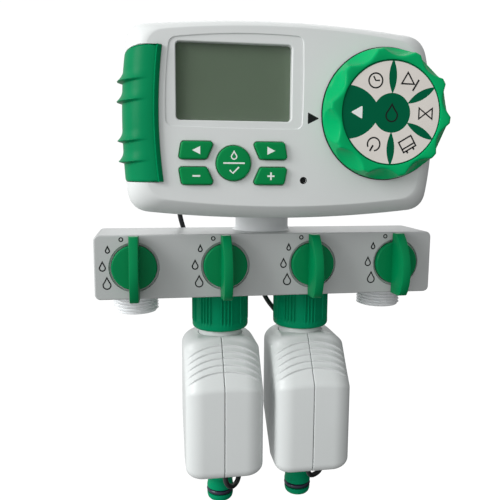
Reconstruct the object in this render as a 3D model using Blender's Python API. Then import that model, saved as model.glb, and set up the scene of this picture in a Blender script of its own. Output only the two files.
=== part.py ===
"""Drip irrigation timer: controller, four-way tap manifold and two solenoid valves.

Sizes are in millimetres and mesh_object scales them to metres.
X is to the right, Y points away from the user and Z is up.
The origin is the middle of the tap inlet's mouth, on the inlet nut's top face.
"""
import math

import bmesh
import bpy
from mathutils import Matrix, Vector

MM = 0.001
GAP = 0.3

# Tap manifold
BLOCK_HALF_LENGTH = 96.4
BLOCK_FRONT, BLOCK_BACK = -26.1, 14.0
BLOCK_TOP, BLOCK_BOTTOM = -44.1, -79.8
TAP_PITCH = 50.0
TAP_X = [TAP_PITCH * (i - 1.5) for i in range(4)]
TAP_Z = -62.0
THREAD_RADIUS = 13.2
OUTLET_BOTTOM = -91.8
OUTLET_BORE = 6.5
BALL_RADIUS = 9.0
STEM_RADIUS = 3.4
KNOB_RADIUS = 12.3
KNOB_RECESS = 13.56
HANDLE_BASE_HALF, HANDLE_CREST_HALF = 2.9, 2.5
HANDLE_CREST = [(17.5, -31), (14, -35.5), (6, -40.5), (-2, -42.8), (-9, -42.5), (-15, -40.2), (-17.5, -36)]
GALLERY_TOP, GALLERY_BOTTOM = -47.2, -53.5
NECK_RADIUS = 15.7
NECK_TOP = -33.2
CLIP_TOP = -26.0
SPIGOT_RADIUS = 11.5
FLANGE_RADIUS = 12.9
SPIGOT_TOP = -12.0
NUT_BOTTOM = -24.3
INLET_NUT_RADIUS = 17.5

# Solenoid valves
VALVE_X = (TAP_X[1], TAP_X[2])
UNION_NUT_RADIUS = 17.0
UNION_TOP, UNION_BOTTOM = -80.1, -103.3
BOX_HALF_WIDTH = 22.0
BOX_WALL = 2.0
BOX_PROFILE = [(-10.5, -106.4), (-15.2, -109.2), (-31, -129.5), (-33, -134.5), (-33, -182), (-28.5, -186.6),
               (-13, -186.6), (-9, -185.4), (13.5, -163.5), (16, -158), (16, -111), (11.5, -106.4)]
BOX_ROUNDING = [(0.15, 0), (14, 0), (18.5, 1.0), (BOX_HALF_WIDTH, 5.5)]
BOX_HOLLOW = [(-1.0, 2.0), (14, 2.0), (20, 5.8)]
COLLAR_RADIUS = 13.2
COIL_Z = -145.0
CONNECTOR_RADIUS = 8.6
CONNECTOR_TOP, CONNECTOR_TIP = -164.0, -215.4
ORING_Z = -209.7
CABLE_ENTRY_Y = -26.0

# Controller housing
HOUSING_X = (-79.6, 91.0)
HOUSING_Z = (-34.9, 68.2)
HOUSING_FRONT, HOUSING_SPLIT, HOUSING_REAR = -48.0, -30.0, -19.0
EDGE_SAG = 4.8
LEFT_SAG, RIGHT_SAG = 3.0, 5.8
CORNER_SIZES = (10.0, 8.0, 9.0, 8.0)
CORNER_SHIFTS = ((0, 0), (0.6, 0), (-3.6, -0.9), (0.6, 0))
ROUNDING_DEPTH, SIDE_ROUNDING, TOP_ROUNDING, BOTTOM_ROUNDING = 15.0, 10.0, 4.8, 7.2
ROUNDING_START = math.radians(20)
WALL = 2.4
GRIP_X = -61.1
GRIP_Z = (-14.9, 51.4)
GRIP_DEPTH = 2.0
RIB_Z = (34.5, 24.5, 5.0, -5.0)
WINDOW_X, WINDOW_Z = (-52.4, 6.3), (15.8, 53.7)
FRAME_X, FRAME_Z = (-57.0, 11.8), (13.0, 57.8)
KEYS_X, KEYS_Z = -23.6, -5.5
OK_RADIUS = 9.25
KEY_INNER, KEY_OUTER, KEY_NEAR, KEY_FAR = 13.6, 27.9, 2.0, 10.8
KEY_FRONT, KEY_REAR = -50.0, -41.8
LED_X, LED_Z = 13.1, -14.1
DIAL_X, DIAL_Z = 56.0, 20.4
DIAL_RADIUS = 33.9
SCOOPS = 10
SCOOP_PHASE = math.radians(12.5)
LABEL_RADIUS = 26.0
BOARD_FRONT, BOARD_REAR = -38.3, -36.7
SCREWS = [(-66.5, -22.0), (73.0, -22.0), (-66.5, 55.2), (70.5, 52.5)]
BATTERY_X = (-61.75, -47.25)
BATTERY_RADIUS, BATTERY_Y = 7.1, -28.3
BATTERY_Z = (-5.0, 44.3)
BAY_X, BAY_Z = (-69.2, -39.8), (-7.0, 47.5)
GLANDS = [(-50.0, -24.0), (24.0, -24.0)]
GLAND_END = -12.0

# Cables, from the gland's end face to the box's bottom face
CABLE_RADIUS = 1.5
CABLE_STEP = 9.0
CABLE_ROUTES = [
    [(-50, -11.7, -24), (-50, -4, -24.3), (-49.7, 6, -27), (-48.6, 14, -34), (-46.5, 18.5, -43),
     (-41, 20, -60), (-31, 20.5, -82), (-19, 21, -105), (-11, 21, -130), (-9.5, 19.5, -155),
     (-10.5, 13, -174), (-11.8, 2, -185.5), (-13.6, -9, -192), (-16.6, -17.6, -195.4),
     (-20.2, -22.7, -195.8), (-23.2, -25.2, -193.6), (-24.7, -26, -190.2), (-25, CABLE_ENTRY_Y, -186.9)],
    [(24, -11.7, -24), (24, -4, -24.3), (23.5, 6, -26), (20, 15, -30), (12, 19.8, -37),
     (4, 20.8, -48), (0.5, 20.8, -62), (1.5, 20.8, -77), (7, 20.8, -91), (15, 20.8, -102),
     (25, 20.8, -116), (34, 20.5, -134), (38.5, 19.5, -152), (40, 15.5, -167), (40.2, 8, -176.5),
     (39.8, 0, -183.3), (38.8, -8, -188.4), (36.8, -14.5, -191.2), (33.5, -19.3, -192.4),
     (29.8, -22.4, -192.5), (27.4, -24.2, -191.7), (25.64, -25.5, -189.5), (25, CABLE_ENTRY_Y, -186.9)],
]

WHITE = ("white_plastic", (0.80, 0.81, 0.80), 0.38, 0.0, 1.0)
GREEN = ("green_plastic", (0.01, 0.36, 0.16), 0.28, 0.0, 1.0)
LENS = ("clear_lens", (0.75, 0.80, 0.78), 0.08, 0.0, 0.35)
SCREEN = ("screen_glass", (0.42, 0.46, 0.42), 0.2, 0.0, 1.0)
BOARD = ("circuit_board", (0.03, 0.22, 0.08), 0.45, 0.0, 1.0)
MAT = ("silicone", (0.35, 0.35, 0.35), 0.7, 0.0, 1.0)
BLACK = ("black_rubber", (0.02, 0.02, 0.02), 0.6, 0.0, 1.0)
STEEL = ("steel", (0.6, 0.6, 0.6), 0.3, 1.0, 1.0)
LABEL = ("silver_label", (0.72, 0.74, 0.73), 0.35, 0.0, 1.0)
CELL = ("battery_sleeve", (0.08, 0.09, 0.1), 0.3, 0.2, 1.0)
COPPER = ("coil_wrap", (0.45, 0.24, 0.08), 0.5, 0.0, 1.0)


def clear_scene():
    for obj in list(bpy.data.objects):
        bpy.data.objects.remove(obj)


def material(spec):
    name, colour, roughness, metallic, alpha = spec
    found = bpy.data.materials.get(name)
    if found:
        return found
    made = bpy.data.materials.new(name)
    made.use_nodes = True
    shader = made.node_tree.nodes["Principled BSDF"]
    shader.inputs["Base Color"].default_value = (*colour, 1.0)
    shader.inputs["Roughness"].default_value = roughness
    shader.inputs["Metallic"].default_value = metallic
    shader.inputs["Alpha"].default_value = alpha
    return made


def mesh_object(name, bm, spec):
    """Closes a bmesh in millimetres into an object in metres with outward faces."""
    bmesh.ops.scale(bm, vec=(MM, MM, MM), verts=bm.verts)
    bmesh.ops.recalc_face_normals(bm, faces=bm.faces)
    mesh = bpy.data.meshes.new(name)
    bm.to_mesh(mesh)
    bm.free()
    obj = bpy.data.objects.new(name, mesh)
    bpy.context.collection.objects.link(obj)
    mesh.materials.append(material(spec))
    return obj


def combine(target, other, operation):
    """Unites, cuts or intersects the target with another object, which is used up."""
    modifier = target.modifiers.new("combine", "BOOLEAN")
    modifier.operation = operation
    modifier.object = other
    modifier.solver = "EXACT"
    evaluated = target.evaluated_get(bpy.context.evaluated_depsgraph_get())
    mesh = bpy.data.meshes.new_from_object(evaluated)
    target.modifiers.remove(modifier)
    target.data = mesh
    bpy.data.objects.remove(other)
    return target


def join(target, *others):
    for other in others:
        combine(target, other, "UNION")
    return target


def cut(target, *others):
    for other in others:
        combine(target, other, "DIFFERENCE")
    return target


def finish(obj, name, origin=None):
    """Names a node, shades it and moves its origin to a point in millimetres."""
    obj.name = name
    obj.data.name = name
    obj.data.shade_smooth()
    obj.data.set_sharp_from_angle(angle=math.radians(35))
    if origin is not None:
        point = Vector(origin) * MM
        obj.data.transform(Matrix.Translation(-point))
        obj.location = point
    return obj


def loft(loops, spec, name="loft"):
    """Skins closed loops of equal length and caps both ends."""
    bm = bmesh.new()
    rows = [[bm.verts.new(point) for point in loop] for loop in loops]
    count = len(rows[0])
    for lower, upper in zip(rows, rows[1:]):
        for i in range(count):
            j = (i + 1) % count
            bm.faces.new((lower[i], lower[j], upper[j], upper[i]))
    bm.faces.new(rows[0])
    bm.faces.new(rows[-1])
    return mesh_object(name, bm, spec)


PLACE = {"X": lambda a, b, h: (h, a, b), "Y": lambda a, b, h: (a, h, b), "Z": lambda a, b, h: (a, b, h)}


def ring(radius, height, segments, axis):
    place = PLACE[axis]
    angles = [math.tau * i / segments for i in range(segments)]
    return [place(radius * math.cos(t), radius * math.sin(t), height) for t in angles]


def turned(profile, spec, axis="Z", centre=(0, 0, 0), segments=24, name="turned"):
    """Turns (radius, height) points round an axis: a solid, or a ring if bored."""
    bored = min(radius for radius, _ in profile) > 0
    bm = bmesh.new()
    rows = [[bm.verts.new(point) for point in ring(r, h, segments, axis)] for r, h in profile if r > 0]
    pairs = list(zip(rows, rows[1:])) + ([(rows[-1], rows[0])] if bored else [])
    for lower, upper in pairs:
        for i in range(segments):
            j = (i + 1) % segments
            bm.faces.new((lower[i], lower[j], upper[j], upper[i]))
    if not bored:
        bm.faces.new(rows[0])
        bm.faces.new(rows[-1])
    bmesh.ops.translate(bm, vec=centre, verts=bm.verts)
    return mesh_object(name, bm, spec)


def rod(radius, start, end, axis="Z", centre=(0, 0, 0), spec=WHITE, segments=20):
    return turned([(0, start), (radius, start), (radius, end), (0, end)], spec, axis, centre, segments)


def tube(inner, outer, start, end, axis, centre, spec, segments=20):
    return turned([(inner, start), (outer, start), (outer, end), (inner, end)], spec, axis, centre, segments)


def block(x, y, z, spec=WHITE):
    loops = [[(x[0], at, z[0]), (x[1], at, z[0]), (x[1], at, z[1]), (x[0], at, z[1])] for at in y]
    return loft(loops, spec)


def rounded_rectangle(x, z, radius, steps=3):
    """Outline in XZ with round corners, anticlockwise seen from the front."""
    points = []
    corners = [(x[1] - radius, z[0] + radius, -90), (x[1] - radius, z[1] - radius, 0),
               (x[0] + radius, z[1] - radius, 90), (x[0] + radius, z[0] + radius, 180)]
    for cx, cz, start in corners:
        for i in range(steps + 1):
            t = math.radians(start + 90 * i / steps)
            points.append((cx + radius * math.cos(t), cz + radius * math.sin(t)))
    return points


def offset(outline, distance):
    """Moves an anticlockwise outline outward along its corner normals."""
    count = len(outline)
    moved = []
    for i, (x, z) in enumerate(outline):
        before = Vector((x, z)) - Vector(outline[i - 1])
        after = Vector(outline[(i + 1) % count]) - Vector((x, z))
        normals = [Vector((side.y, -side.x)).normalized() for side in (before, after)]
        bisector = (normals[0] + normals[1]).normalized()
        reach = distance / max(0.5, bisector.dot(normals[0]))
        moved.append((x + bisector.x * reach, z + bisector.y * reach))
    return moved


def prism(outline, y_front, y_back, spec=WHITE):
    return loft([[(x, y, z) for x, z in outline] for y in (y_front, y_back)], spec)


def edge_loft(outline, stations, spec=WHITE):
    """Skins an XZ outline at (y, inset) stations."""
    return loft([[(x, y, z) for x, z in offset(outline, -inset)] for y, inset in stations], spec)


def housing_outline(side=0.0, top=0.0, bottom=0.0, side_steps=5, corner_steps=3):
    """Four bowed sides joined by soft corners, moved in at the sides, the top and the bottom."""
    left, right = HOUSING_X[0] + LEFT_SAG + side, HOUSING_X[1] - RIGHT_SAG - side
    low, high = HOUSING_Z[0] + EDGE_SAG + bottom, HOUSING_Z[1] - EDGE_SAG - top
    corners = [Vector(place) + Vector(shift) for place, shift in
               zip(((left, low), (right, low), (right, high), (left, high)), CORNER_SHIFTS)]
    bows = [EDGE_SAG, RIGHT_SAG, EDGE_SAG, LEFT_SAG]
    sides = []
    for i, bow in enumerate(bows):
        start, end = corners[i], corners[(i + 1) % 4]
        run = end - start
        outward = Vector((run.y, -run.x)).normalized()
        first, last = CORNER_SIZES[i] / run.length, 1 - CORNER_SIZES[(i + 1) % 4] / run.length
        ts = [first + (last - first) * k / side_steps for k in range(side_steps + 1)]
        sides.append([start + run * t + outward * bow * (1 - (2 * t - 1) ** 2) for t in ts])
    outline = []
    for i, side in enumerate(sides):
        following = sides[(i + 1) % 4]
        heading, arrival = side[-1] - side[-2], following[0] - following[1]
        knee = crossing(side[-1], heading, following[0], arrival)
        outline += side
        for k in range(1, corner_steps):
            t = k / corner_steps
            outline.append(side[-1] * (1 - t) ** 2 + knee * 2 * t * (1 - t) + following[0] * t * t)
    return [(point.x, point.y) for point in outline]


def crossing(a, along_a, b, along_b):
    """Point where two lines in a plane cross."""
    share = (b - a).cross(along_b) / along_a.cross(along_b)
    return a + along_a * share


def housing_front(inset, back, steps=4):
    """Front half of the housing, pushed in by inset: a bowed rounding up to the flat panel."""
    loops = [[(x, back, z) for x, z in housing_outline(inset, inset, inset)]]
    for k in range(steps, -1, -1):
        angle = ROUNDING_START + (math.pi / 2 - ROUNDING_START) * k / steps
        share = (1 - math.sin(angle)) / (1 - math.sin(ROUNDING_START))
        y = HOUSING_FRONT + inset + ROUNDING_DEPTH * (1 - math.cos(angle) / math.cos(ROUNDING_START))
        outline = housing_outline(inset + SIDE_ROUNDING * share, inset + TOP_ROUNDING * share,
                                  inset + BOTTOM_ROUNDING * share)
        loops.append([(x, y, z) for x, z in outline])
    return loft(loops, WHITE)


def grip_zone(grow):
    return block((-95, GRIP_X + grow), (-60, HOUSING_SPLIT - 0.5 + grow), (GRIP_Z[0] - grow, GRIP_Z[1] + grow))


def key_outline(side, level):
    """Key beside the round one: side and level are -1 or 1."""
    points = [(KEY_INNER, KEY_NEAR), (KEY_INNER - 0.4, KEY_NEAR + 1.2), (KEY_INNER - 3.4, KEY_FAR - 1.0),
              (KEY_INNER - 3.0, KEY_FAR), (KEY_OUTER - 2.9, KEY_FAR), (KEY_OUTER - 1.7, KEY_FAR - 1.1),
              (KEY_OUTER, KEY_NEAR + 1.4), (KEY_OUTER - 1.2, KEY_NEAR)]
    placed = [(KEYS_X + side * x, KEYS_Z + level * z) for x, z in points]
    return placed[::-1] if side * level > 0 else placed


def ok_outline(radius=OK_RADIUS, segments=20):
    return [(KEYS_X + x, KEYS_Z + z) for x, _, z in ring(radius, 0, segments, "Y")]


def key_outlines():
    return {"key_left": key_outline(-1, 1), "key_right": key_outline(1, 1), "key_minus": key_outline(-1, -1),
            "key_plus": key_outline(1, -1), "key_ok": ok_outline()}


def front_shell():
    shell = cut(housing_front(0, HOUSING_SPLIT - 0.15), grip_zone(GAP))
    join(shell, housing_front(GRIP_DEPTH, HOUSING_SPLIT - 0.25))
    hollow = cut(housing_front(WALL, HOUSING_SPLIT + 5), grip_zone(GAP + WALL))
    cut(shell, join(hollow, housing_front(WALL + 1.8, HOUSING_SPLIT + 4)))
    for x, z in SCREWS:
        join(shell, rod(3.2, HOUSING_FRONT + 2.2, HOUSING_SPLIT - 0.4, "Y", (x, 0, z), segments=12))
        cut(shell, rod(1.8, -41, HOUSING_SPLIT + 3, "Y", (x, 0, z), segments=12))
    cut(shell, prism(rounded_rectangle(WINDOW_X, WINDOW_Z, 2), -60, -40))
    cut(shell, prism(rounded_rectangle(FRAME_X, FRAME_Z, 4), -60, HOUSING_FRONT + 0.5))
    for outline in key_outlines().values():
        cut(shell, prism(grown(outline, 0.4), -60, -40))
    cut(shell, rod(3.4, -60, -40, "Y", (DIAL_X, 0, DIAL_Z)), rod(1.5, -60, -40, "Y", (LED_X, 0, LED_Z), segments=12))
    return finish(shell, "front_shell")


def grown(outline, distance):
    """Offsets an outline outward whichever way round it is listed."""
    area = sum(a[0] * b[1] - b[0] * a[1] for a, b in zip(outline, outline[1:] + outline[:1]))
    return offset(outline, distance if area > 0 else -distance)


def rear_shell():
    rear = HOUSING_REAR
    stations = [(HOUSING_SPLIT + 0.15, 0), (rear - 3.5, 0), (rear - 1.2, 1.0), (rear, 3.5)]
    hollow = [(HOUSING_SPLIT - 5, WALL), (rear - 4.5, WALL), (rear - WALL, WALL + 2.0)]
    shell = cut(edge_loft(housing_outline(), stations), edge_loft(housing_outline(), hollow))
    wall = 1.2
    tray_x, tray_z = (BAY_X[0] - wall, BAY_X[1] + wall), (BAY_Z[0] - wall, BAY_Z[1] + wall)
    join(shell, block(tray_x, (BOARD_REAR + GAP, rear - 1), tray_z))
    cut(shell, block(BAY_X, (BOARD_REAR + 1.0, rear + 5), BAY_Z))
    for x, z in SCREWS:
        join(shell, rod(4.2, HOUSING_SPLIT + 0.25, rear - 1, "Y", (x, 0, z), segments=16))
        cut(shell, rod(3.1, rear - 5, rear + 5, "Y", (x, 0, z), segments=16))
        cut(shell, rod(1.8, HOUSING_SPLIT - 5, rear, "Y", (x, 0, z), segments=12))
    return finish(shell, "rear_shell")


def side_grip():
    grip = combine(housing_front(-0.4, HOUSING_SPLIT - 0.3), grip_zone(0), "INTERSECT")
    ribs = None
    for z in RIB_Z:
        slab = block((-95, -69), (-60, HOUSING_SPLIT - 0.6), (z - 2.2, z + 2.2))
        rib = combine(housing_front(-1.7, HOUSING_SPLIT - 0.2), slab, "INTERSECT")
        ribs = join(ribs, rib) if ribs else rib
    join(grip, ribs)
    cut(grip, housing_front(GRIP_DEPTH - GAP, HOUSING_SPLIT + 3))
    grip.data.materials.clear()
    grip.data.materials.append(material(GREEN))
    return finish(grip, "side_grip")


def display():
    lens = prism(rounded_rectangle((-54.8, 8.5), (13.2, 55.0), 1.5, 2), -45.3, -43.9, LENS)
    finish(lens, "window_lens")
    finish(block((-54.4, 8.0), (-43.6, BOARD_FRONT - GAP), (13.4, 54.6), SCREEN), "lcd_module")
    finish(block((-60, 66), (BOARD_FRONT, BOARD_REAR), (-20, 56), BOARD), "main_board")
    finish(block((-53, 6), (-40.4, BOARD_FRONT - GAP), (-18.5, 7.5), MAT), "keypad_mat")
    led = rod(1.2, -47.4, BOARD_FRONT - GAP, "Y", (LED_X, 0, LED_Z), BLACK, 12)
    finish(led, "status_led")


def keys():
    for name, outline in key_outlines().items():
        stations = [(KEY_REAR, 0), (KEY_FRONT + 0.6, 0), (KEY_FRONT, 0.6)]
        loops = [[(x, y, z) for x, z in grown(outline, -inset)] for y, inset in stations]
        centre = [sum(values) / len(outline) for values in zip(*outline)]
        finish(loft(loops, GREEN), name, (centre[0], KEY_FRONT, centre[1]))


def scooped(radius, depth, segments=40):
    """Ring radius with ten hollows of the given depth."""
    points = []
    for i in range(segments):
        t = math.tau * i / segments
        wave = 0.5 + 0.5 * math.cos(SCOOPS * (t - SCOOP_PHASE))
        points.append((t, radius - depth * wave))
    return points


def dial():
    stations = [(-48.8, DIAL_RADIUS, 0), (-50.6, DIAL_RADIUS, 0.9), (-57.9, 31.8, 2.9), (-59.0, 30.6, 2.3)]
    loops = [[(DIAL_X + r * math.cos(t), y, DIAL_Z + r * math.sin(t)) for t, r in scooped(radius, depth)]
             for y, radius, depth in stations]
    knob = loft(loops, GREEN)
    centre = (DIAL_X, 0, DIAL_Z)
    cut(knob, rod(LABEL_RADIUS + GAP, -65, -57.0, "Y", centre, segments=32))
    cut(knob, rod(3.3, -53.3, -40, "Y", centre, segments=16))
    pivot = (DIAL_X, HOUSING_FRONT, DIAL_Z)
    finish(knob, "dial_knob", pivot)
    finish(rod(LABEL_RADIUS, -58.3, -57.3, "Y", centre, LABEL, 32), "dial_label", pivot)
    finish(rod(3.0, -53.0, -41.6, "Y", centre, STEEL, 16), "dial_shaft", pivot)
    finish(rod(8.0, -41.3, BOARD_FRONT - GAP, "Y", centre, BLACK, 20), "rotary_switch")


def battery_bay():
    low, high = BATTERY_Z
    for number, x in enumerate(BATTERY_X, 1):
        profile = [(0, low), (BATTERY_RADIUS, low), (BATTERY_RADIUS, high), (2.7, high), (2.7, high + 1.2),
                   (0, high + 1.2)]
        finish(turned(profile, CELL, "Z", (x, BATTERY_Y, 0), 16), f"battery_{number}")
    door = block((BAY_X[0] + GAP, BAY_X[1] - GAP), (-20.9, HOUSING_REAR), (BAY_Z[0] + GAP, BAY_Z[1] - GAP))
    finish(door, "battery_door", (BAY_X[0] + GAP, HOUSING_REAR + GAP, 20))


def fasteners():
    for number, (x, z) in enumerate(SCREWS, 1):
        profile = [(0, -22.0), (2.8, -22.0), (2.8, -23.7), (1.4, -23.7), (1.4, -39.0), (0, -39.0)]
        finish(turned(profile, STEEL, "Y", (x, 0, z), 12), f"housing_screw_{number}")
    clip = tube(13.6, 17.6, -32.8, -26.4, "Z", (0, 0, 0), WHITE, 24)
    cut(clip, block((-10.5, 10.5), (5, 30), (-40, -20)))
    foot = block((-11, 11), (HOUSING_REAR + GAP, -14.5), (-32.6, -26.6))
    finish(join(clip, foot), "rear_bracket")
    for number, (x, z) in enumerate(GLANDS, 1):
        profile = [(0, HOUSING_REAR + GAP), (3.2, HOUSING_REAR + GAP), (3.2, -16.5), (2.0, GLAND_END),
                   (0, GLAND_END)]
        finish(turned(profile, BLACK, "Y", (x, 0, z), 16), f"cable_gland_{number}")


def manifold_body():
    outline = rounded_rectangle((-BLOCK_HALF_LENGTH, BLOCK_HALF_LENGTH), (BLOCK_BOTTOM, BLOCK_TOP), 3)
    stations = [(BLOCK_FRONT, 0.8), (BLOCK_FRONT + 0.8, 0), (9, 0), (12.5, 0.7), (BLOCK_BACK, 2.0)]
    body = edge_loft(outline, stations)
    neck = [(0, -46), (NECK_RADIUS, -46), (NECK_RADIUS, NECK_TOP), (THREAD_RADIUS, NECK_TOP),
            (THREAD_RADIUS, CLIP_TOP), (15.0, CLIP_TOP), (15.0, -24.6), (SPIGOT_RADIUS, -24.6),
            (SPIGOT_RADIUS, -15.2), (FLANGE_RADIUS, -15.2), (FLANGE_RADIUS, SPIGOT_TOP), (0, SPIGOT_TOP)]
    join(body, turned(neck, WHITE))
    for x in TAP_X:
        join(body, rod(THREAD_RADIUS, OUTLET_BOTTOM, -78, "Z", (x, 0, 0), segments=24))
    cut(body, block((-88, 88), (-11, 11), (GALLERY_BOTTOM, GALLERY_TOP)))
    cut(body, rod(9.0, -50, 0, "Z", (0, 0, 0)))
    for x in TAP_X:
        cut(body, ball_shape(BALL_RADIUS + 0.4, (x, 0, TAP_Z), segments=14))
        cut(body, rod(OUTLET_BORE, -95, -50, "Z", (x, 0, 0), segments=16))
        cut(body, rod(STEM_RADIUS + 0.4, -40, -6, "Y", (x, 0, TAP_Z), segments=10))
        cut(body, rod(KNOB_RECESS, -40, -24.0, "Y", (x, 0, TAP_Z), segments=24))
    return finish(body, "manifold_body")


def ball_shape(radius, centre, spec=WHITE, segments=12):
    steps = segments // 2
    angles = [math.pi * i / steps for i in range(steps + 1)]
    profile = [(0, -radius)] + [(radius * math.sin(t), -radius * math.cos(t)) for t in angles[1:-1]]
    return ball_skin(profile, radius, spec, centre, segments)


def ball_skin(profile, radius, spec, centre, segments):
    """Skins a ball with a point at each pole, its poles on Y."""
    bm = bmesh.new()
    rows = [[bm.verts.new(p) for p in ring(r, h, segments, "Y")] for r, h in profile[1:]]
    poles = [bm.verts.new((0, -radius, 0)), bm.verts.new((0, radius, 0))]
    for i in range(segments):
        j = (i + 1) % segments
        bm.faces.new((poles[0], rows[0][j], rows[0][i]))
        bm.faces.new((poles[1], rows[-1][i], rows[-1][j]))
        for lower, upper in zip(rows, rows[1:]):
            bm.faces.new((lower[i], lower[j], upper[j], upper[i]))
    bmesh.ops.translate(bm, vec=centre, verts=bm.verts)
    return mesh_object("ball", bm, spec)


def tap(number, x):
    centre = (x, 0, TAP_Z)
    ball = join(ball_shape(BALL_RADIUS, centre, STEEL), rod(STEM_RADIUS, -27.6, -7, "Y", centre, STEEL, 12))
    cut(ball, rod(6.0, -20, 20, "X", centre, segments=12))
    finish(ball, f"ball_{number}", (x, 0, TAP_Z))
    knob = rod(KNOB_RADIUS, -28.2, -24.4, "Y", centre, GREEN, 24)
    loops = [[(x - HANDLE_BASE_HALF, -27.4, TAP_Z + z), (x + HANDLE_BASE_HALF, -27.4, TAP_Z + z),
              (x + HANDLE_CREST_HALF, y, TAP_Z + z), (x - HANDLE_CREST_HALF, y, TAP_Z + z)] for z, y in HANDLE_CREST]
    join(knob, loft(loops, GREEN))
    cut(knob, rod(STEM_RADIUS + GAP, -27.9, -20, "Y", centre, segments=12))
    finish(knob, f"tap_knob_{number}", (x, BLOCK_FRONT, TAP_Z))


def inlet():
    nut = [(11.8, NUT_BOTTOM), (INLET_NUT_RADIUS, NUT_BOTTOM), (INLET_NUT_RADIUS, 0), (13.6, 0),
           (13.6, -15.5), (11.8, -15.5)]
    finish(turned(nut, GREEN), "inlet_nut")
    finish(tube(8.0, 13.2, -11.7, -9.2, "Z", (0, 0, 0), BLACK, 24), "inlet_washer")


def box_half(x, side):
    """Half of a valve box, split on the box's middle plane."""
    outline = BOX_PROFILE
    loops = [[(x + side * across, y, z) for y, z in grown(outline, -inset)] for across, inset in BOX_ROUNDING]
    hollow = [[(x + side * across, y, z) for y, z in grown(outline, -inset)] for across, inset in BOX_HOLLOW]
    half = cut(loft(loops, WHITE), loft(hollow, WHITE))
    cut(half, rod(COLLAR_RADIUS + GAP, -119, -95, "Z", (x, 0, 0), segments=24))
    cut(half, rod(CONNECTOR_RADIUS + GAP, -190, -158, "Z", (x, 0, 0), segments=20))
    cut(half, rod(CABLE_RADIUS + 0.4, -190, -178, "Z", (x, CABLE_ENTRY_Y, 0), segments=12))
    return half


def solenoid_valve(number, x):
    finish(box_half(x, -1), f"valve_shell_{number}_left")
    finish(box_half(x, 1), f"valve_shell_{number}_right")
    nut = [(13.6, UNION_TOP), (UNION_NUT_RADIUS, UNION_TOP), (UNION_NUT_RADIUS, UNION_BOTTOM),
           (11.8, UNION_BOTTOM), (11.8, -98.9), (13.6, -98.9)]
    finish(turned(nut, GREEN, "Z", (x, 0, 0)), f"union_nut_{number}", (x, 0, UNION_TOP))
    finish(tube(8.0, 12.8, -95.2, -92.1, "Z", (x, 0, 0), BLACK, 24), f"union_washer_{number}")
    body = [(7.5, -95.5), (FLANGE_RADIUS, -95.5), (FLANGE_RADIUS, -98.6), (SPIGOT_RADIUS, -98.6),
            (SPIGOT_RADIUS, -103.6), (COLLAR_RADIUS, -103.6), (COLLAR_RADIUS, -118), (10.5, -118),
            (10.5, -154), (6.4, -156), (6.4, -180), (4.5, -180), (4.5, -154), (7.5, -150)]
    finish(turned(body, WHITE, "Z", (x, 0, 0), 20), f"flow_body_{number}")
    coil = tube(3.3, 9.5, -29.5, -13.5, "Y", (x, 0, COIL_Z), COPPER, 20)
    finish(coil, f"solenoid_coil_{number}")
    plunger = rod(2.9, -27.0, -11.4, "Y", (x, 0, COIL_Z), STEEL, 12)
    finish(plunger, f"plunger_{number}", (x, -27.0, COIL_Z))
    connector = [(6.8, CONNECTOR_TOP), (CONNECTOR_RADIUS, CONNECTOR_TOP), (CONNECTOR_RADIUS, -202.5),
                 (7.8, -204), (7.8, -207.9), (5.6, -207.9), (5.6, -211.5), (7.7, -211.5), (7.7, -213.5),
                 (6.8, CONNECTOR_TIP), (4.0, CONNECTOR_TIP), (4.0, -184), (6.8, -182)]
    finish(turned(connector, GREEN, "Z", (x, 0, 0), 16), f"hose_connector_{number}")
    seal = [(7.1 + 1.2 * math.cos(math.tau * i / 6), ORING_Z + 1.2 * math.sin(math.tau * i / 6))
            for i in range(6)]
    finish(turned(seal, BLACK, "Z", (x, 0, 0), 16), f"connector_oring_{number}")


def smooth_route(points, step):
    """Even points on a Catmull-Rom curve through the route's own points."""
    route = [Vector(point) for point in points]
    padded = [route[0] * 2 - route[1]] + route + [route[-1] * 2 - route[-2]]
    fine = []
    for a, b, c, d in zip(padded, padded[1:], padded[2:], padded[3:]):
        for k in range(12):
            t = k / 12
            fine.append(0.5 * (2 * b + (c - a) * t + (2 * a - 5 * b + 4 * c - d) * t ** 2
                               + (3 * b - a - 3 * c + d) * t ** 3))
    fine.append(route[-1])
    lengths = [(q - p).length for p, q in zip(fine, fine[1:])]
    count = round(sum(lengths) / step)
    spacing = sum(lengths) / count
    even, travelled = [fine[0]], 0.0
    for start, end, length in zip(fine, fine[1:], lengths):
        while len(even) < count and travelled + length >= spacing * len(even):
            even.append(start.lerp(end, (spacing * len(even) - travelled) / length))
        travelled += length
    return even + [fine[-1]]


def cable(number, route):
    curve = bpy.data.curves.new(f"cable_{number}", "CURVE")
    curve.dimensions = "3D"
    curve.bevel_depth = CABLE_RADIUS * MM
    curve.bevel_resolution = 2
    curve.use_fill_caps = True
    points = smooth_route(route, CABLE_STEP)
    spline = curve.splines.new("POLY")
    spline.points.add(len(points) - 1)
    for slot, point in zip(spline.points, points):
        slot.co = (*(point * MM), 1.0)
    curve.materials.append(material(BLACK))
    bpy.context.collection.objects.link(bpy.data.objects.new(f"cable_{number}", curve))


def main():
    clear_scene()
    front_shell()
    rear_shell()
    side_grip()
    display()
    keys()
    dial()
    battery_bay()
    fasteners()
    manifold_body()
    inlet()
    for number, x in enumerate(TAP_X, 1):
        tap(number, x)
    for number, x in enumerate(VALVE_X, 1):
        solenoid_valve(number, x)
    for number, route in enumerate(CABLE_ROUTES, 1):
        cable(number, route)


main()
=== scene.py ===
"""Looks of the drip irrigation timer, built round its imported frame.

Sizes are in millimetres in the frame's own axes, and every mesh is scaled to metres when it is made.
"""
import math

import bmesh
import bpy
from mathutils import Matrix, Vector


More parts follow.
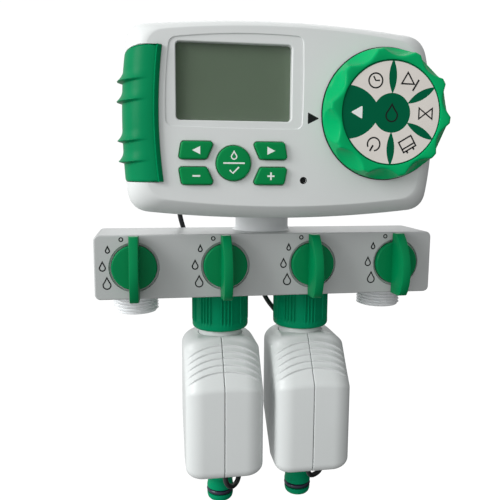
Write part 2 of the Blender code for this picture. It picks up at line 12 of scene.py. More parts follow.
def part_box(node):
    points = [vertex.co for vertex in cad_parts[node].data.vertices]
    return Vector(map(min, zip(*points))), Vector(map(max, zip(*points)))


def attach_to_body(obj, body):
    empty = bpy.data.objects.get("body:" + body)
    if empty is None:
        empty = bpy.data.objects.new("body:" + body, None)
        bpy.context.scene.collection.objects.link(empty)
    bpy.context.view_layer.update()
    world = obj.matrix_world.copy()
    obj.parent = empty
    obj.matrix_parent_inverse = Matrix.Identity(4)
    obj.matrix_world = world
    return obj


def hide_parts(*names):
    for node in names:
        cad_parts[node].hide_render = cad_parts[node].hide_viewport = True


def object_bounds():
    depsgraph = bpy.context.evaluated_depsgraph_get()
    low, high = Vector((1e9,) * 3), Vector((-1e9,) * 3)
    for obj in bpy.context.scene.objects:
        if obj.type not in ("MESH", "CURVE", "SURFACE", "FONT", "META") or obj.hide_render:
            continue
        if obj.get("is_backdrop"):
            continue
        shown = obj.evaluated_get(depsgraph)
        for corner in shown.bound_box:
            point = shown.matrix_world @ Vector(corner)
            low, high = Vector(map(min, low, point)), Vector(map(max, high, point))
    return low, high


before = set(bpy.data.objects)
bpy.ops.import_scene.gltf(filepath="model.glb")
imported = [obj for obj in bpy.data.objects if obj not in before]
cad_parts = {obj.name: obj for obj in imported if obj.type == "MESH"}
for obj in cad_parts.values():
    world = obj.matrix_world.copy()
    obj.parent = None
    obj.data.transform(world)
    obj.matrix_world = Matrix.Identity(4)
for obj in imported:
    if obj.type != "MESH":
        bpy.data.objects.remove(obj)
CAD_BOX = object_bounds()
MM = 0.001


def node_range(node, axis):
    """Lowest and highest millimetre of a CAD node along an axis."""
    low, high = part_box(node)
    return low["xyz".index(axis)] / MM, high["xyz".index(axis)] / MM


def node_middle(node):
    """Middle of a CAD node, in millimetres."""
    low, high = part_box(node)
    return (low + high) / 2 / MM


# Places, read from the frame where a node gives them
TAP_X = [round(node_middle(f"tap_knob_{i}").x, 1) for i in (1, 2, 3, 4)]
TAP_Z = -62.0
VALVE_X = [round(node_middle(f"union_nut_{i}").x, 1) for i in (1, 2)]
HOUSING_X = node_range("rear_shell", "x")
HOUSING_Z = node_range("rear_shell", "z")
PANEL_Y = node_range("front_shell", "y")[0]
SPLIT_Y = -30.0
REAR_Y = node_range("rear_shell", "y")[1]
DIAL_X, DIAL_Z = node_middle("dial_label").x, node_middle("dial_label").z
LABEL_Y = node_range("dial_label", "y")[0]
BLOCK_Y = (-26.1, 14.0)
BLOCK_X = node_range("manifold_body", "x")
BLOCK_Z = (-79.8, -44.1)
NUT_Z = node_range("union_nut_1", "z")

# Housing shape
EDGE_SAG, LEFT_SAG, RIGHT_SAG = 4.8, 3.0, 5.8
CORNER_SIZES = (10.0, 8.0, 9.0, 8.0)
CORNER_SHIFTS = ((0, 0), (0.6, 0), (-3.6, -0.9), (0.6, 0))
ROUNDING_DEPTH, SIDE_ROUNDING, TOP_ROUNDING, BOTTOM_ROUNDING = 15.0, 10.0, 4.8, 7.2
SIDE_CREASE, TOP_CREASE, BOTTOM_CREASE = (math.radians(angle) for angle in (11, 34, 48))
WALL, GRIP_DEPTH, GAP = 2.4, 2.4, 0.3
GRIP_Z, RIB_Z = (-14.9, 51.4), (35.1, 25.1, 5.4, -5.0)
GRIP_DROP, GRIP_DROP_START = 4.0, PANEL_Y + 2.0
WINDOW_X, WINDOW_Z = (-52.4, 6.3), (15.8, 53.7)
KEYS_X, KEYS_Z = -23.6, -5.5
OK_RADIUS = 8.85
KEY_FRONT, KEY_REAR = -50.0, -41.8
INDICATOR, INDICATOR_RADIUS, SCREW_HOLE = (13.1, 0, -14.1), 1.5, 1.8
AHEAD, WITHIN = -60, -40  # depths in front of the panel and inside the case, where cutters start and end
SCREWS = [tuple(getattr(node_middle(f"housing_screw_{i}"), a) for a in "xz") for i in (1, 2, 3, 4)]
DIAL_BASE, DIAL_RIM = 33.7, 32.3
SCOOPS, SCOOP_PHASE = 10, math.radians(12.5)

# Cables, repeated from the frame's design
CABLE_RADIUS, ROUTE_STEP = 1.5, 2.0
CABLE_ROUTES = [
    [(-50, -11.7, -24), (-50, -4, -24.3), (-49.7, 6, -27), (-48.6, 14, -34), (-46.5, 18.5, -43),
     (-41, 20, -60), (-31, 20.5, -82), (-19, 21, -105), (-11, 21, -130), (-9.5, 19.5, -155),
     (-10.5, 13, -174), (-11.8, 2, -185.5), (-13.6, -9, -192), (-16.6, -17.6, -195.4),
     (-20.2, -22.7, -195.8), (-23.2, -25.2, -193.6), (-24.7, -26, -190.2), (-25, -26, -186.9)],
    [(24, -11.7, -24), (24, -4, -24.3), (23.5, 6, -26), (20, 15, -30), (12, 19.8, -37),
     (4, 20.8, -48), (0.5, 20.8, -62), (1.5, 20.8, -77), (7, 20.8, -91), (15, 20.8, -102),
     (25, 20.8, -116), (34, 20.5, -134), (38.5, 19.5, -152), (40, 15.5, -167), (40.2, 8, -176.5),
     (39.8, 0, -183.3), (38.8, -8, -188.4), (36.8, -14.5, -191.2), (33.5, -19.3, -192.4),
     (29.8, -22.4, -192.5), (27.4, -24.2, -191.7), (25.64, -25.5, -189.5), (25, -26, -186.9)],
]


# ---- materials
def fill(node, values):
    """Gives inputs of a shader node their values, by name."""
    for name, value in values.items():
        node.inputs[name].default_value = value


def add_node(tree, kind, values=None):
    """New shader node of a kind, with values for some of its inputs."""
    node = tree.nodes.new(f"ShaderNode{kind}")
    fill(node, values or {})
    return node


def wire(tree, *links):
    """Makes links, each given as a node, its output, the next node and its input."""
    for source, output, target, entry in links:
        tree.links.new(source.outputs[output], target.inputs[entry])


def new_material(name):
    """Empty material with its node tree and its main shader."""
    made = bpy.data.materials.new(name)
    made.use_nodes = True
    return made, made.node_tree, made.node_tree.nodes["Principled BSDF"]


def place_node(tree):
    """The node of a tree that gives texture coordinates."""
    return next(node for node in tree.nodes if node.type == "TEX_COORD")


def plastic(name, colour, roughness, grain=0.25, depth=0.05, tint=0.04, mottle=18.0, coat=0.0, specular=0.5):
    """Moulded plastic: faint mottling in colour and gloss, and a fine moulded grain.

    grain is the size of the texture and depth its height, in millimetres; mottle is the size of the
    colour's drift and tint its strength.
    """
    made, tree, shader = new_material(name)
    fill(shader, {"Coat Weight": coat, "Coat Roughness": 0.08, "Specular IOR Level": specular})
    place = add_node(tree, "TexCoord")
    drift = add_node(tree, "TexNoise", {"Scale": 1 / (mottle * MM), "Detail": 4})
    shades = add_node(tree, "ValToRGB")
    for element, at, gain in zip(shades.color_ramp.elements, (0.3, 0.7), (1 - tint, 1 + tint)):
        element.position = at
        element.color = (*(min(1.0, channel * gain) for channel in colour), 1)
    gloss = add_node(tree, "MapRange", {"To Min": roughness * 0.85, "To Max": roughness * 1.15})
    texture = add_node(tree, "TexNoise", {"Scale": 1 / (grain * MM), "Detail": 2})
    bump = add_node(tree, "Bump", {"Strength": 0.5, "Distance": depth * MM})
    wire(tree, (place, "Object", drift, "Vector"), (drift, "Fac", shades, "Fac"),
         (shades, "Color", shader, "Base Color"), (drift, "Fac", gloss, "Value"),
         (gloss, "Result", shader, "Roughness"), (place, "Object", texture, "Vector"),
         (texture, "Fac", bump, "Height"), (bump, "Normal", shader, "Normal"))
    return made


def metal(name, colour, roughness, stretch=(1, 1, 30)):
    """Turned or drawn metal with fine streaks along one axis."""
    made = plastic(name, colour, roughness, 0.4, 0.01, 0.1, 3.0)
    tree = made.node_tree
    fill(tree.nodes["Principled BSDF"], {"Metallic": 1.0})
    mapping = add_node(tree, "Mapping", {"Scale": stretch})
    wire(tree, (place_node(tree), "Object", mapping, "Vector"))
    for node in tree.nodes:
        if node.type == "TEX_NOISE":
            wire(tree, (mapping, "Vector", node, "Vector"))
    return made


def banded(name, bands, roughness, axis="Z"):
    """Printed sleeve: (from this millimetre up, colour) bands along an axis."""
    made = plastic(name, bands[0][1], roughness, coat=0.6)
    tree = made.node_tree
    low, high = bands[0][0], bands[-1][0] + 1.0
    split = add_node(tree, "SeparateXYZ")
    span = add_node(tree, "MapRange", {"From Min": low * MM, "From Max": high * MM})
    ramp = add_node(tree, "ValToRGB")
    ramp.color_ramp.interpolation = "CONSTANT"
    while len(ramp.color_ramp.elements) < len(bands):
        ramp.color_ramp.elements.new(0.5)
    for element, (start, colour) in zip(ramp.color_ramp.elements, bands):
        element.position = (start - low) / (high - low)
        element.color = (*colour, 1)
    wire(tree, (place_node(tree), "Object", split, "Vector"), (split, axis, span, "Value"),
         (span, "Result", ramp, "Fac"), (ramp, "Color", tree.nodes["Principled BSDF"], "Base Color"))
    return made


def clear_lens():
    """Thin clear window: mostly lets light through, with a faint sheen."""
    made, tree, shader = new_material("lens")
    fill(shader, {"Base Color": (0.86, 0.9, 0.87, 1), "Alpha": 0.08, "Specular IOR Level": 0.06})
    haze = add_node(tree, "TexNoise", {"Scale": 90})
    span = add_node(tree, "MapRange", {"To Min": 0.04, "To Max": 0.1})
    wire(tree, (haze, "Fac", span, "Value"), (span, "Result", shader, "Roughness"))
    return made


WHITE = plastic("white_shell", (0.70, 0.725, 0.72), 0.42, 0.22, 0.02, 0.015, 40.0, specular=0.35)
# Darker copy of the white plastic for the manifold block and its knob seats: painted shade, standing in for
# the shade under the controller.
BLOCK_WHITE_PAINTED_SHADE = plastic("block_white_painted_shade", (0.46, 0.475, 0.475), 0.4, 0.3, 0.03, 0.03, 30.0, specular=0.3)
# Lighter copy of the same white plastic for the outlets and the inlet neck: painted light.
THREAD_WHITE_PAINTED_LIGHT = plastic("thread_white_painted_light", (0.85, 0.87, 0.88), 0.4, 0.3, 0.02, 0.02, 30.0, specular=0.3)
WHITE_VALVE = plastic("white_valve", (0.68, 0.71, 0.705), 0.36, 0.25, 0.02, 0.015, 30.0, 0.1, 0.35)
GREEN = plastic("green_gloss", (0.0, 0.39, 0.125), 0.24, 0.25, 0.02, 0.05, 25.0, coat=0.04, specular=0.06)
GREEN_GRIP = plastic("green_grip", (0.0, 0.215, 0.08), 0.33, 0.2, 0.03, 0.04, 25.0, specular=0.06)
GREEN_KEY = plastic("green_key", (0.0, 0.235, 0.062), 0.34, 0.15, 0.02, 0.04, 12.0, specular=0.1)
GREEN_KNOB = plastic("green_knob", (0.0, 0.2, 0.066), 0.3, 0.25, 0.02, 0.05, 20.0, specular=0.08)
GREEN_NUT = plastic("green_nut", (0.0, 0.24, 0.105), 0.36, 0.2, 0.02, 0.05, 20.0, specular=0.04)
GREEN_DARK = plastic("label_green", (0.0, 0.115, 0.05), 0.4, 0.2, 0.005, 0.04, 14.0, specular=0.04)
SILVER = plastic("label_silver", (0.78, 0.74, 0.69), 0.4, 0.12, 0.006, 0.03, 9.0, specular=0.3)
INK = plastic("ink", (0.008, 0.010, 0.010), 0.5, 0.1, 0.004, 0.1, 5.0, specular=0.15)
WHITE_INK = plastic("white_ink", (0.84, 0.88, 0.85), 0.5, 0.1, 0.004, 0.03, 5.0, specular=0.2)
BLACK = plastic("black_rubber", (0.010, 0.010, 0.012), 0.45, 0.3, 0.02, 0.2, 8.0, specular=0.25)
SEAL = plastic("seal_rubber", (0.012, 0.012, 0.035), 0.3, 0.3, 0.01, 0.2, 8.0)
CABLE = plastic("cable_sheath", (0.012, 0.013, 0.015), 0.34, 0.5, 0.02, 0.15, 10.0)
SCREEN = plastic("screen", (0.072, 0.122, 0.062), 0.4, 0.3, 0.002, 0.04, 30.0, specular=0.05)
LENS = clear_lens()
STEEL = metal("bright_steel", (0.62, 0.62, 0.63), 0.26)
ZINC = metal("zinc_steel", (0.5, 0.5, 0.52), 0.35, (12, 12, 12))
BOARD = plastic("solder_mask", (0.006, 0.11, 0.03), 0.4, 0.6, 0.04, 0.35, 4.0, coat=0.3)
SILICONE = plastic("silicone_mat", (0.22, 0.22, 0.22), 0.7, 0.3, 0.03, 0.06, 10.0)
COPPER = metal("coil_wrap", (0.62, 0.30, 0.12), 0.35, (1, 40, 1))
CELL_Z = node_range("battery_1", "z")
CELL_BANDS = [(CELL_Z[0], (0.5, 0.5, 0.5)), (CELL_Z[0] + 1.2, (0.03, 0.16, 0.06)),
              (CELL_Z[0] + 14, (0.02, 0.02, 0.022)), (CELL_Z[1] - 3.4, (0.45, 0.45, 0.45))]
CELL = banded("battery_sleeve", CELL_BANDS, 0.25)


# ---- mesh tools
CREASE = 32  # degrees: sharper edges than this stay sharp in the shading


def mesh_object(name, bm, material, angle=CREASE):
    """Turns a bmesh in millimetres into a smooth-shaded object in metres."""
    bmesh.ops.scale(bm, vec=(MM, MM, MM), verts=bm.verts)
    bmesh.ops.recalc_face_normals(bm, faces=bm.faces)
    mesh = bpy.data.meshes.new(name)
    bm.to_mesh(mesh)
    bm.free()
    obj = bpy.data.objects.new(name, mesh)
    bpy.context.scene.collection.objects.link(obj)
    mesh.materials.append(material)
    mesh.shade_smooth()
    mesh.set_sharp_from_angle(angle=math.radians(angle))
    return obj


def combine(target, other, operation):
    """Unites, cuts or intersects the target with another object, which is used up."""
    modifier = target.modifiers.new("combine", "BOOLEAN")
    modifier.operation = operation
    modifier.object = other
    modifier.solver = "EXACT"
    evaluated = target.evaluated_get(bpy.context.evaluated_depsgraph_get())
    mesh = bpy.data.meshes.new_from_object(evaluated)
    target.modifiers.remove(modifier)
    target.data = mesh
    bpy.data.objects.remove(other)
    mesh.shade_smooth()
    mesh.set_sharp_from_angle(angle=math.radians(CREASE))
    return target


def cut(target, *others):
    """Takes the others out of the target."""
    for other in others:
        combine(target, other, "DIFFERENCE")
    return target


def join(target, *others):
    """Adds the others to the target."""
    for other in others:
        combine(target, other, "UNION")
    return target


def flatten(obj):
    """Let the large faces set the shading, so that a flat panel looks flat up to its edges."""
    weighted = obj.modifiers.new("flat_faces", "WEIGHTED_NORMAL")
    weighted.keep_sharp = True
    weighted.weight = 70


def attach(obj, body, slot, *nodes, name=None):
    """Names a piece, hangs it on a body and hides the frame's nodes that it stands for."""
    if name:
        obj.name = name
    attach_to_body(obj, body)
    if nodes:
        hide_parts(*nodes)
    return obj


def loft_bmesh(loops, closed_ends=True):
    """Skin through loops of equal count, either capped or joined round from the last loop to the first."""
    bm = bmesh.new()
    rows = [[bm.verts.new(point) for point in loop] for loop in loops]
    count = len(rows[0])
    for lower, upper in zip(rows, rows[1:]):
        for i in range(count):
            j = (i + 1) % count
            bm.faces.new((lower[i], lower[j], upper[j], upper[i]))
    if closed_ends:
        bm.faces.new(rows[0])
        bm.faces.new(rows[-1])
    else:
        for i in range(count):
            j = (i + 1) % count
            bm.faces.new((rows[-1][i], rows[-1][j], rows[0][j], rows[0][i]))
    return bm


def loft(loops, material, name="loft", angle=CREASE, closed_ends=True):
    """Object skinned through loops of points."""
    return mesh_object(name, loft_bmesh(loops, closed_ends), material, angle)


PLACE = {"X": lambda a, b, h: (h, a, b), "Y": lambda a, b, h: (a, h, b), "Z": lambda a, b, h: (a, b, h)}


def turned(profile, material, axis="Z", centre=(0, 0, 0), segments=72, name="turned", wave=None,
           angle=CREASE):
    """Turns (radius, height) points round an axis; wave(angle, radius, height) may change the radius."""
    bored = min(radius for radius, _ in profile) > 0
    place = PLACE[axis]
    loops = []
    for radius, height in profile:
        if radius <= 0:
            continue
        loop = []
        for i in range(segments):
            t = math.tau * i / segments
            r = wave(t, radius, height) if wave else radius
            loop.append([a + b for a, b in zip(place(r * math.cos(t), r * math.sin(t), height), centre)])
        loops.append(loop)
    return loft(loops, material, name, angle, closed_ends=not bored)


def arc(radius, height, size, start, end, steps=5):
    """Points of a round edge in a profile, centred at (radius, height); angles in degrees."""
    angles = [math.radians(start + (end - start) * k / steps) for k in range(steps + 1)]
    return [(radius + size * math.cos(t), height + size * math.sin(t)) for t in angles]


def rod(radius, start, end, axis="Z", centre=(0, 0, 0), segments=48):
    """Plain cylinder between two heights of its axis."""
    return turned([(0, start), (radius, start), (radius, end), (0, end)], WHITE, axis, centre, segments)


def washer(radii, heights, material, axis, centre, segments, name):
    """Plain ring between two radii and two heights."""
    (inner, outer), (low, high) = radii, heights
    profile = [(inner, low), (outer, low), (outer, high), (inner, high)]
    return turned(profile, material, axis, centre, segments, name)


def rectangle(x, z):
    """Corners of an upright rectangle, from its ends in x and in z."""
    return [(x[0], z[0]), (x[1], z[0]), (x[1], z[1]), (x[0], z[1])]


def block(x, y, z):
    """Plain box, from its ends along each axis."""
    return loft([at_depth(rectangle(x, z), at) for at in y], WHITE)


def at_depth(outline, y):
    """An XZ outline as points at one depth."""
    return [(x, y, z) for x, z in outline]


def quarter(steps, first=1):
    """Even angles over a quarter turn."""
    return [math.pi / 2 * k / steps for k in range(first, steps + 1)]


def offset(outline, distance):
    """Moves an anticlockwise outline outward along its corner normals."""
    count = len(outline)
    moved = []
    for i, (x, z) in enumerate(outline):
        before = Vector((x, z)) - Vector(outline[i - 1])
        after = Vector(outline[(i + 1) % count]) - Vector((x, z))
        normals = [Vector((side.y, -side.x)).normalized() for side in (before, after)]
        bisector = (normals[0] + normals[1]).normalized()
        reach = distance / max(0.5, bisector.dot(normals[0]))
        moved.append((x + bisector.x * reach, z + bisector.y * reach))
    return moved


def area(outline):
    """Area of an outline, negative if it runs clockwise."""
    return sum(a[0] * b[1] - b[0] * a[1] for a, b in zip(outline, outline[1:] + outline[:1])) / 2


def grown(outline, distance):
    """The outline moved outward by a distance, whichever way round it runs."""
    return offset(outline, distance if area(outline) > 0 else -distance)


def rounded(corners, radii, steps=6):
    """Replaces each corner of an outline by an arc-like curve of that size."""
    count = len(corners)
    sizes = radii if hasattr(radii, "__len__") else [radii] * count
    points = []
    for i, size in enumerate(sizes):
        corner = Vector(corners[i])
        before, after = Vector(corners[i - 1]) - corner, Vector(corners[(i + 1) % count]) - corner
        half = before.angle(after) / 2
        trim = min(size / math.tan(half), before.length * 0.48, after.length * 0.48)
        size = trim * math.tan(half)
        start, end = corner + before.normalized() * trim, corner + after.normalized() * trim
        centre = corner + (before.normalized() + after.normalized()).normalized() * (size / math.sin(half))
        a, b = start - centre, end - centre
        turn = b.angle(a) if a.length > 1e-6 else 0
        sign = 1 if a.cross(b) > 0 else -1
        for k in range(steps + 1):
            spin = sign * turn * k / steps
            points.append((centre.x + a.x * math.cos(spin) - a.y * math.sin(spin),
                           centre.y + a.x * math.sin(spin) + a.y * math.cos(spin)))
    return points


def bowed(corners, bows, sizes, side_steps=24, corner_steps=9):
    """Outline of bowed sides joined by soft corners; sizes is one size or one per corner."""
    points = [Vector(point) for point in corners]
    sizes = sizes if hasattr(sizes, "__len__") else [sizes] * 4
    sides = []
    for i, bow in enumerate(bows):
        start, run = points[i], points[(i + 1) % 4] - points[i]
        outward = Vector((run.y, -run.x)).normalized()
        first, last = sizes[i] / run.length, 1 - sizes[(i + 1) % 4] / run.length
        ts = [first + (last - first) * k / side_steps for k in range(side_steps + 1)]
        sides.append([start + run * t + outward * bow * (1 - (2 * t - 1) ** 2) for t in ts])
    outline = []
    for i, side in enumerate(sides):
        following = sides[(i + 1) % 4]
        heading, arrival = side[-1] - side[-2], following[0] - following[1]
        share = (following[0] - side[-1]).cross(arrival) / heading.cross(arrival)
        knee = side[-1] + heading * share
        outline += side
        for k in range(1, corner_steps):
            t = k / corner_steps
            outline.append(side[-1] * (1 - t) ** 2 + knee * 2 * t * (1 - t) + following[0] * t * t)
    return [(point.x, point.y) for point in outline]


def stack(outline, stations, material=WHITE, name="stack", angle=CREASE):
    """Skins an XZ outline at (y, growth) stations."""
    return loft([at_depth(grown(outline, growth), y) for y, growth in stations], material, name, angle)


def prism(outline, front, back, material=WHITE):
    """An XZ outline drawn straight back from one depth to another."""
    return stack(outline, [(front, 0), (back, 0)], material)


def circle(x, z, radius, segments=32, start=0.0, sweep=math.tau):
    """Points of a whole circle, or of an arc of it with both its ends."""
    closed = abs(sweep - math.tau) < 1e-6
    angles = [start + sweep * k / segments for k in range(segments if closed else segments + 1)]
    return [(x + radius * math.cos(t), z + radius * math.sin(t)) for t in angles]


def ribbon(points, width, closed=True):
    """Outline pair for a drawn line: outer and inner side of a closed or open stroke."""
    if closed:
        return grown(points, width / 2), grown(points, -width / 2)
    forward, backward = [], []
    for i, (x, z) in enumerate(points):
        a, b = Vector(points[max(0, i - 1)]), Vector(points[min(len(points) - 1, i + 1)])
        side = Vector((-(b - a).y, (b - a).x)).normalized() * width / 2
        forward.append((x + side.x, z + side.y))
        backward.append((x - side.x, z - side.y))
    return forward, backward


def add_stroke(bm, points, width, front, back, closed=True):
    """Adds a drawn line of flat section to a bmesh."""
    left, right = ribbon(points, width, closed)
    count = len(points)
    corners = [[bm.verts.new((x, y, z)) for x, z in side] for side, y in
               ((left, front), (right, front), (right, back), (left, back))]
    last = count if closed else count - 1
    for i in range(last):
        j = (i + 1) % count
        for a, b in ((0, 1), (1, 2), (2, 3), (3, 0)):
            bm.faces.new((corners[a][i], corners[a][j], corners[b][j], corners[b][i]))
    if not closed:
        for i in (0, count - 1):
            bm.faces.new([corners[k][i] for k in range(4)])


def add_plate(bm, outline, front, back):
    """Adds a flat filled shape to a bmesh."""
    faces = [[bm.verts.new((x, y, z)) for x, z in outline] for y in (front, back)]
    count = len(outline)
    for i in range(count):
        j = (i + 1) % count
        bm.faces.new((faces[0][i], faces[0][j], faces[1][j], faces[1][i]))
    bm.faces.new(faces[0])
    bm.faces.new(faces[1])


# ---- view and light
def look():
    """Camera at the fitted place, in the frame's metres, with its turn, tilt and roll."""
    data = bpy.data.cameras.new("view")
    data.sensor_width, data.lens = 36.0, 43.17
    data.clip_start, data.clip_end = 0.01, 20
    place, (yaw, pitch, roll) = (-0.06523, -0.35390, -0.00655), (-0.1634, -0.14, 0.0069)
    camera = bpy.data.objects.new("view", data)
    bpy.context.scene.collection.objects.link(camera)
    forward = Vector((-math.sin(yaw) * math.cos(pitch), math.cos(yaw) * math.cos(pitch), math.sin(pitch)))
    level = Vector((math.cos(yaw), math.sin(yaw), 0))
    upright = level.cross(forward)
    right = level * math.cos(roll) + upright * math.sin(roll)
    up = upright * math.cos(roll) - level * math.sin(roll)
    turn = Matrix((right, up, -forward)).transposed()
    camera.matrix_world = Matrix.Translation(place) @ turn.to_4x4()
    bpy.context.scene.camera = camera


def area_light(name, place, target, size, power):
    """Rectangular light; places are in metres, its power in watts."""
    data = bpy.data.lights.new(name, "AREA")
    data.shape, data.size, data.size_y = "RECTANGLE", size[0], size[1]
    data.energy = power
    obj = bpy.data.objects.new(name, data)
    bpy.context.scene.collection.objects.link(obj)
    obj.location = place
    obj.rotation_euler = (Vector(target) - Vector(place)).to_track_quat("-Z", "Y").to_euler()


def sky():
    """Soft light from everywhere: strongest from the left and above, weakest from the right and below."""
    world = bpy.data.worlds.new("studio")
    world.use_nodes = True
    tree = world.node_tree
    backing = tree.nodes["Background"]
    fill(backing, {"Color": (1, 1, 1, 1)})
    place = add_node(tree, "TexCoord")
    lean = add_node(tree, "VectorMath")
    lean.operation = "DOT_PRODUCT"
    lean.inputs[1].default_value = (-0.62, -0.12, 0.45)
    spread = add_node(tree, "MapRange", {"From Min": -0.75, "From Max": 0.75})
    fill(spread, {"To Min": 0.03, "To Max": 1.05})
    wire(tree, (place, "Generated", lean, 0), (lean, "Value", spread, "Value"),
         (spread, "Result", backing, "Strength"))
    bpy.context.scene.world = world


def sweep():
    """White floor that curves up all round; it is seen but gives the object no light of its own."""
    floor_z, flat, rise, wall, segments = -0.42, 1.6, 1.4, 5.0, 96
    paper = plastic("sweep", (0.02, 0.02, 0.02), 0.9, 5, 0.0, 0.0, 500)
    shader = paper.node_tree.nodes["Principled BSDF"]
    fill(shader, {"Emission Color": (1, 1, 1, 1), "Emission Strength": 1.0})
    profile = [(0.02, floor_z), (flat, floor_z)]
    profile += [(flat + rise * math.sin(t), floor_z + rise * (1 - math.cos(t))) for t in quarter(12)]
    profile.append((flat + rise, floor_z + rise + wall))
    bm = bmesh.new()
    rows = []
    for r, z in profile:
        rows.append([bm.verts.new((x / MM, y / MM, z / MM)) for x, y in circle(0, 0, r, segments)])
    for lower, upper in zip(rows, rows[1:]):
        for i in range(segments):
            j = (i + 1) % segments
            bm.faces.new((lower[i], lower[j], upper[j], upper[i]))
    bm.faces.new(rows[0])
    floor = mesh_object("floor", bm, paper)
    floor.visible_diffuse = False
    floor.visible_glossy = False
    floor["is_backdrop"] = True


def studio():
    """White sweep, soft sky, a large key light from the upper left and a weak one from behind."""
    bpy.context.scene.view_settings.view_transform = "Standard"
    sky()
    sweep()
    middle = (0, 0, -0.05)
    area_light("key", (-1.2, -0.52, 0.5), middle, (0.6, 0.8), 13.0)
    area_light("back", (0.2, 1.1, 0.6), middle, (0.9, 0.9), 4.0)


# ---- cables
def smooth_route(points, step):
    """Even points on a Catmull-Rom curve through the route's own points."""
    route = [Vector(point) for point in points]
    padded = [route[0] * 2 - route[1]] + route + [route[-1] * 2 - route[-2]]
    fine = []
    for a, b, c, d in zip(padded, padded[1:], padded[2:], padded[3:]):
        for k in range(12):
            t = k / 12
            fine.append(0.5 * (2 * b + (c - a) * t + (2 * a - 5 * b + 4 * c - d) * t ** 2
                               + (3 * b - a - 3 * c + d) * t ** 3))
    fine.append(route[-1])
    lengths = [(q - p).length for p, q in zip(fine, fine[1:])]
    count = round(sum(lengths) / step)
    spacing = sum(lengths) / count
    even, travelled = [fine[0]], 0.0
    for start, end, length in zip(fine, fine[1:], lengths):
        while len(even) < count and travelled + length >= spacing * len(even):
            even.append(start.lerp(end, (spacing * len(even) - travelled) / length))
        travelled += length
    return even + [fine[-1]]


def cables():
    """One control cable to each valve, and the boot it leaves by."""
    for number, route in enumerate(CABLE_ROUTES, 1):
        points = smooth_route(route, ROUTE_STEP)
        curve = bpy.data.curves.new(f"control_cable_{number}", "CURVE")
        curve.dimensions = "3D"
        curve.bevel_depth = CABLE_RADIUS * MM
        curve.bevel_resolution = 6
        curve.use_fill_caps = True
        spline = curve.splines.new("POLY")
        spline.points.add(len(points) - 1)
        for slot, point in zip(spline.points, points):
            slot.co = (*(point * MM), 1.0)
        spline.use_smooth = True
        curve.materials.append(CABLE)
        cord = bpy.data.objects.new(f"control_cable_{number}", curve)
        bpy.context.scene.collection.objects.link(cord)
        attach(cord, "timer", "black_rubber", f"cable_{number}")
        length = sum((b - a).length for a, b in zip(points, points[1:])) * MM
        [value * MM for value in route[0]]
        gland_boot(number, route[0])


def gland_boot(number, exit_point):
    """Flanged rubber boot with four shrinking collars round the cable."""
    bore, collars, pitch, shrink = 1.58, 4, 1.15, 0.22
    profile = [(bore, -18.7), (3.3, -18.7), (3.4, -18.3), (3.4, -17.4), (3.1, -17.0)]
    for k in range(collars):
        y, size = -16.6 + k * pitch, 2.9 - shrink * k
        profile += [(size, y), (size, y + 0.55), (size - 0.45, y + 0.75), (size - 0.45, y + 1.0)]
    profile += [(1.95, -12.0), (bore, -12.0)]
    gland = turned(profile, BLACK, "Y", (exit_point[0], 0, exit_point[2]), 32, f"gland_boot_{number}")
    attach(gland, "timer", "black_rubber", f"cable_gland_{number}")


# ---- controller housing
def housing_outline(side=0.0, top=0.0, bottom=0.0):
    """Four bowed sides joined by soft corners, moved in at the sides, the top and the bottom."""
    left, right = HOUSING_X[0] + LEFT_SAG + side, HOUSING_X[1] - RIGHT_SAG - side
    low, high = HOUSING_Z[0] + EDGE_SAG + bottom, HOUSING_Z[1] - EDGE_SAG - top
    corners = [(x + dx, z + dz) for (x, z), (dx, dz) in
               zip(rectangle((left, right), (low, high)), CORNER_SHIFTS)]
    return bowed(corners, [EDGE_SAG, RIGHT_SAG, EDGE_SAG, LEFT_SAG], CORNER_SIZES)


def share_left(depth, crease):
    """How much of a rounding is still to come, at a share of its depth behind the panel."""
    cosine = math.cos(crease) * (1 - depth)
    return (1 - math.sqrt(1 - cosine * cosine)) / (1 - math.sin(crease))


def rounding(k, steps, inset=0.0):
    """(y, side, top and bottom insets) at step k of the front rounding, from the panel's edge back."""
    angle = SIDE_CREASE + (math.pi / 2 - SIDE_CREASE) * k / steps
    depth = 1 - math.cos(angle) / math.cos(SIDE_CREASE)
    pairs = ((SIDE_ROUNDING, SIDE_CREASE), (TOP_ROUNDING, TOP_CREASE), (BOTTOM_ROUNDING, BOTTOM_CREASE))
    insets = [inset + size * share_left(depth, crease) for size, crease in pairs]
    return PANEL_Y + inset + ROUNDING_DEPTH * depth, insets


def even_loop(inset, y):
    """The housing's outline moved in by the same amount all round, at one depth."""
    return at_depth(housing_outline(inset, inset, inset), y)


def housing_front(inset, back, steps=16):
    """Solid front of the housing, from a depth forward to its panel, whose edge is softened a little."""
    loops = [even_loop(inset, back)]
    for k in range(steps, 0, -1):
        y, insets = rounding(k, steps, inset)
        loops.append(at_depth(housing_outline(*insets), y))
    y, insets = rounding(0, steps, inset)
    loops.append(at_depth(housing_outline(*(value - 0.12 for value in insets)), y + 0.14))
    loops.append(at_depth(housing_outline(*(value + 0.3 for value in insets)), y))
    return loft(loops, WHITE)


def grip_top(y):
    """Height of the grip's upper edge, which drops towards the back."""
    return GRIP_Z[1] - GRIP_DROP * max(0.0, y - GRIP_DROP_START) / (SPLIT_Y - GRIP_DROP_START)


def grip_zone(grow):
    """Space that the grip takes out of the front shell, with its upper side sloping down to the back."""
    outside, inside, above, back = -95, -40, 70, SPLIT_Y + 5
    corners = [(outside, GRIP_Z[0] - grow), (-61.0 + grow, -15.3 - grow), (-60.6 + grow, 51.7 + grow),
               (outside, GRIP_Z[1] + grow)]
    zone = prism(bowed(corners, [0, -1.9, 0, 0], 1.2, 20, 5), AHEAD, SPLIT_Y - 0.5 + grow)
    roof = [(GRIP_DROP_START, above), (GRIP_DROP_START, GRIP_Z[1] + grow), (back, grip_top(back) + grow),
            (back, above)]
    return cut(zone, loft([[(x, y, z) for y, z in roof] for x in (outside, inside)], WHITE))


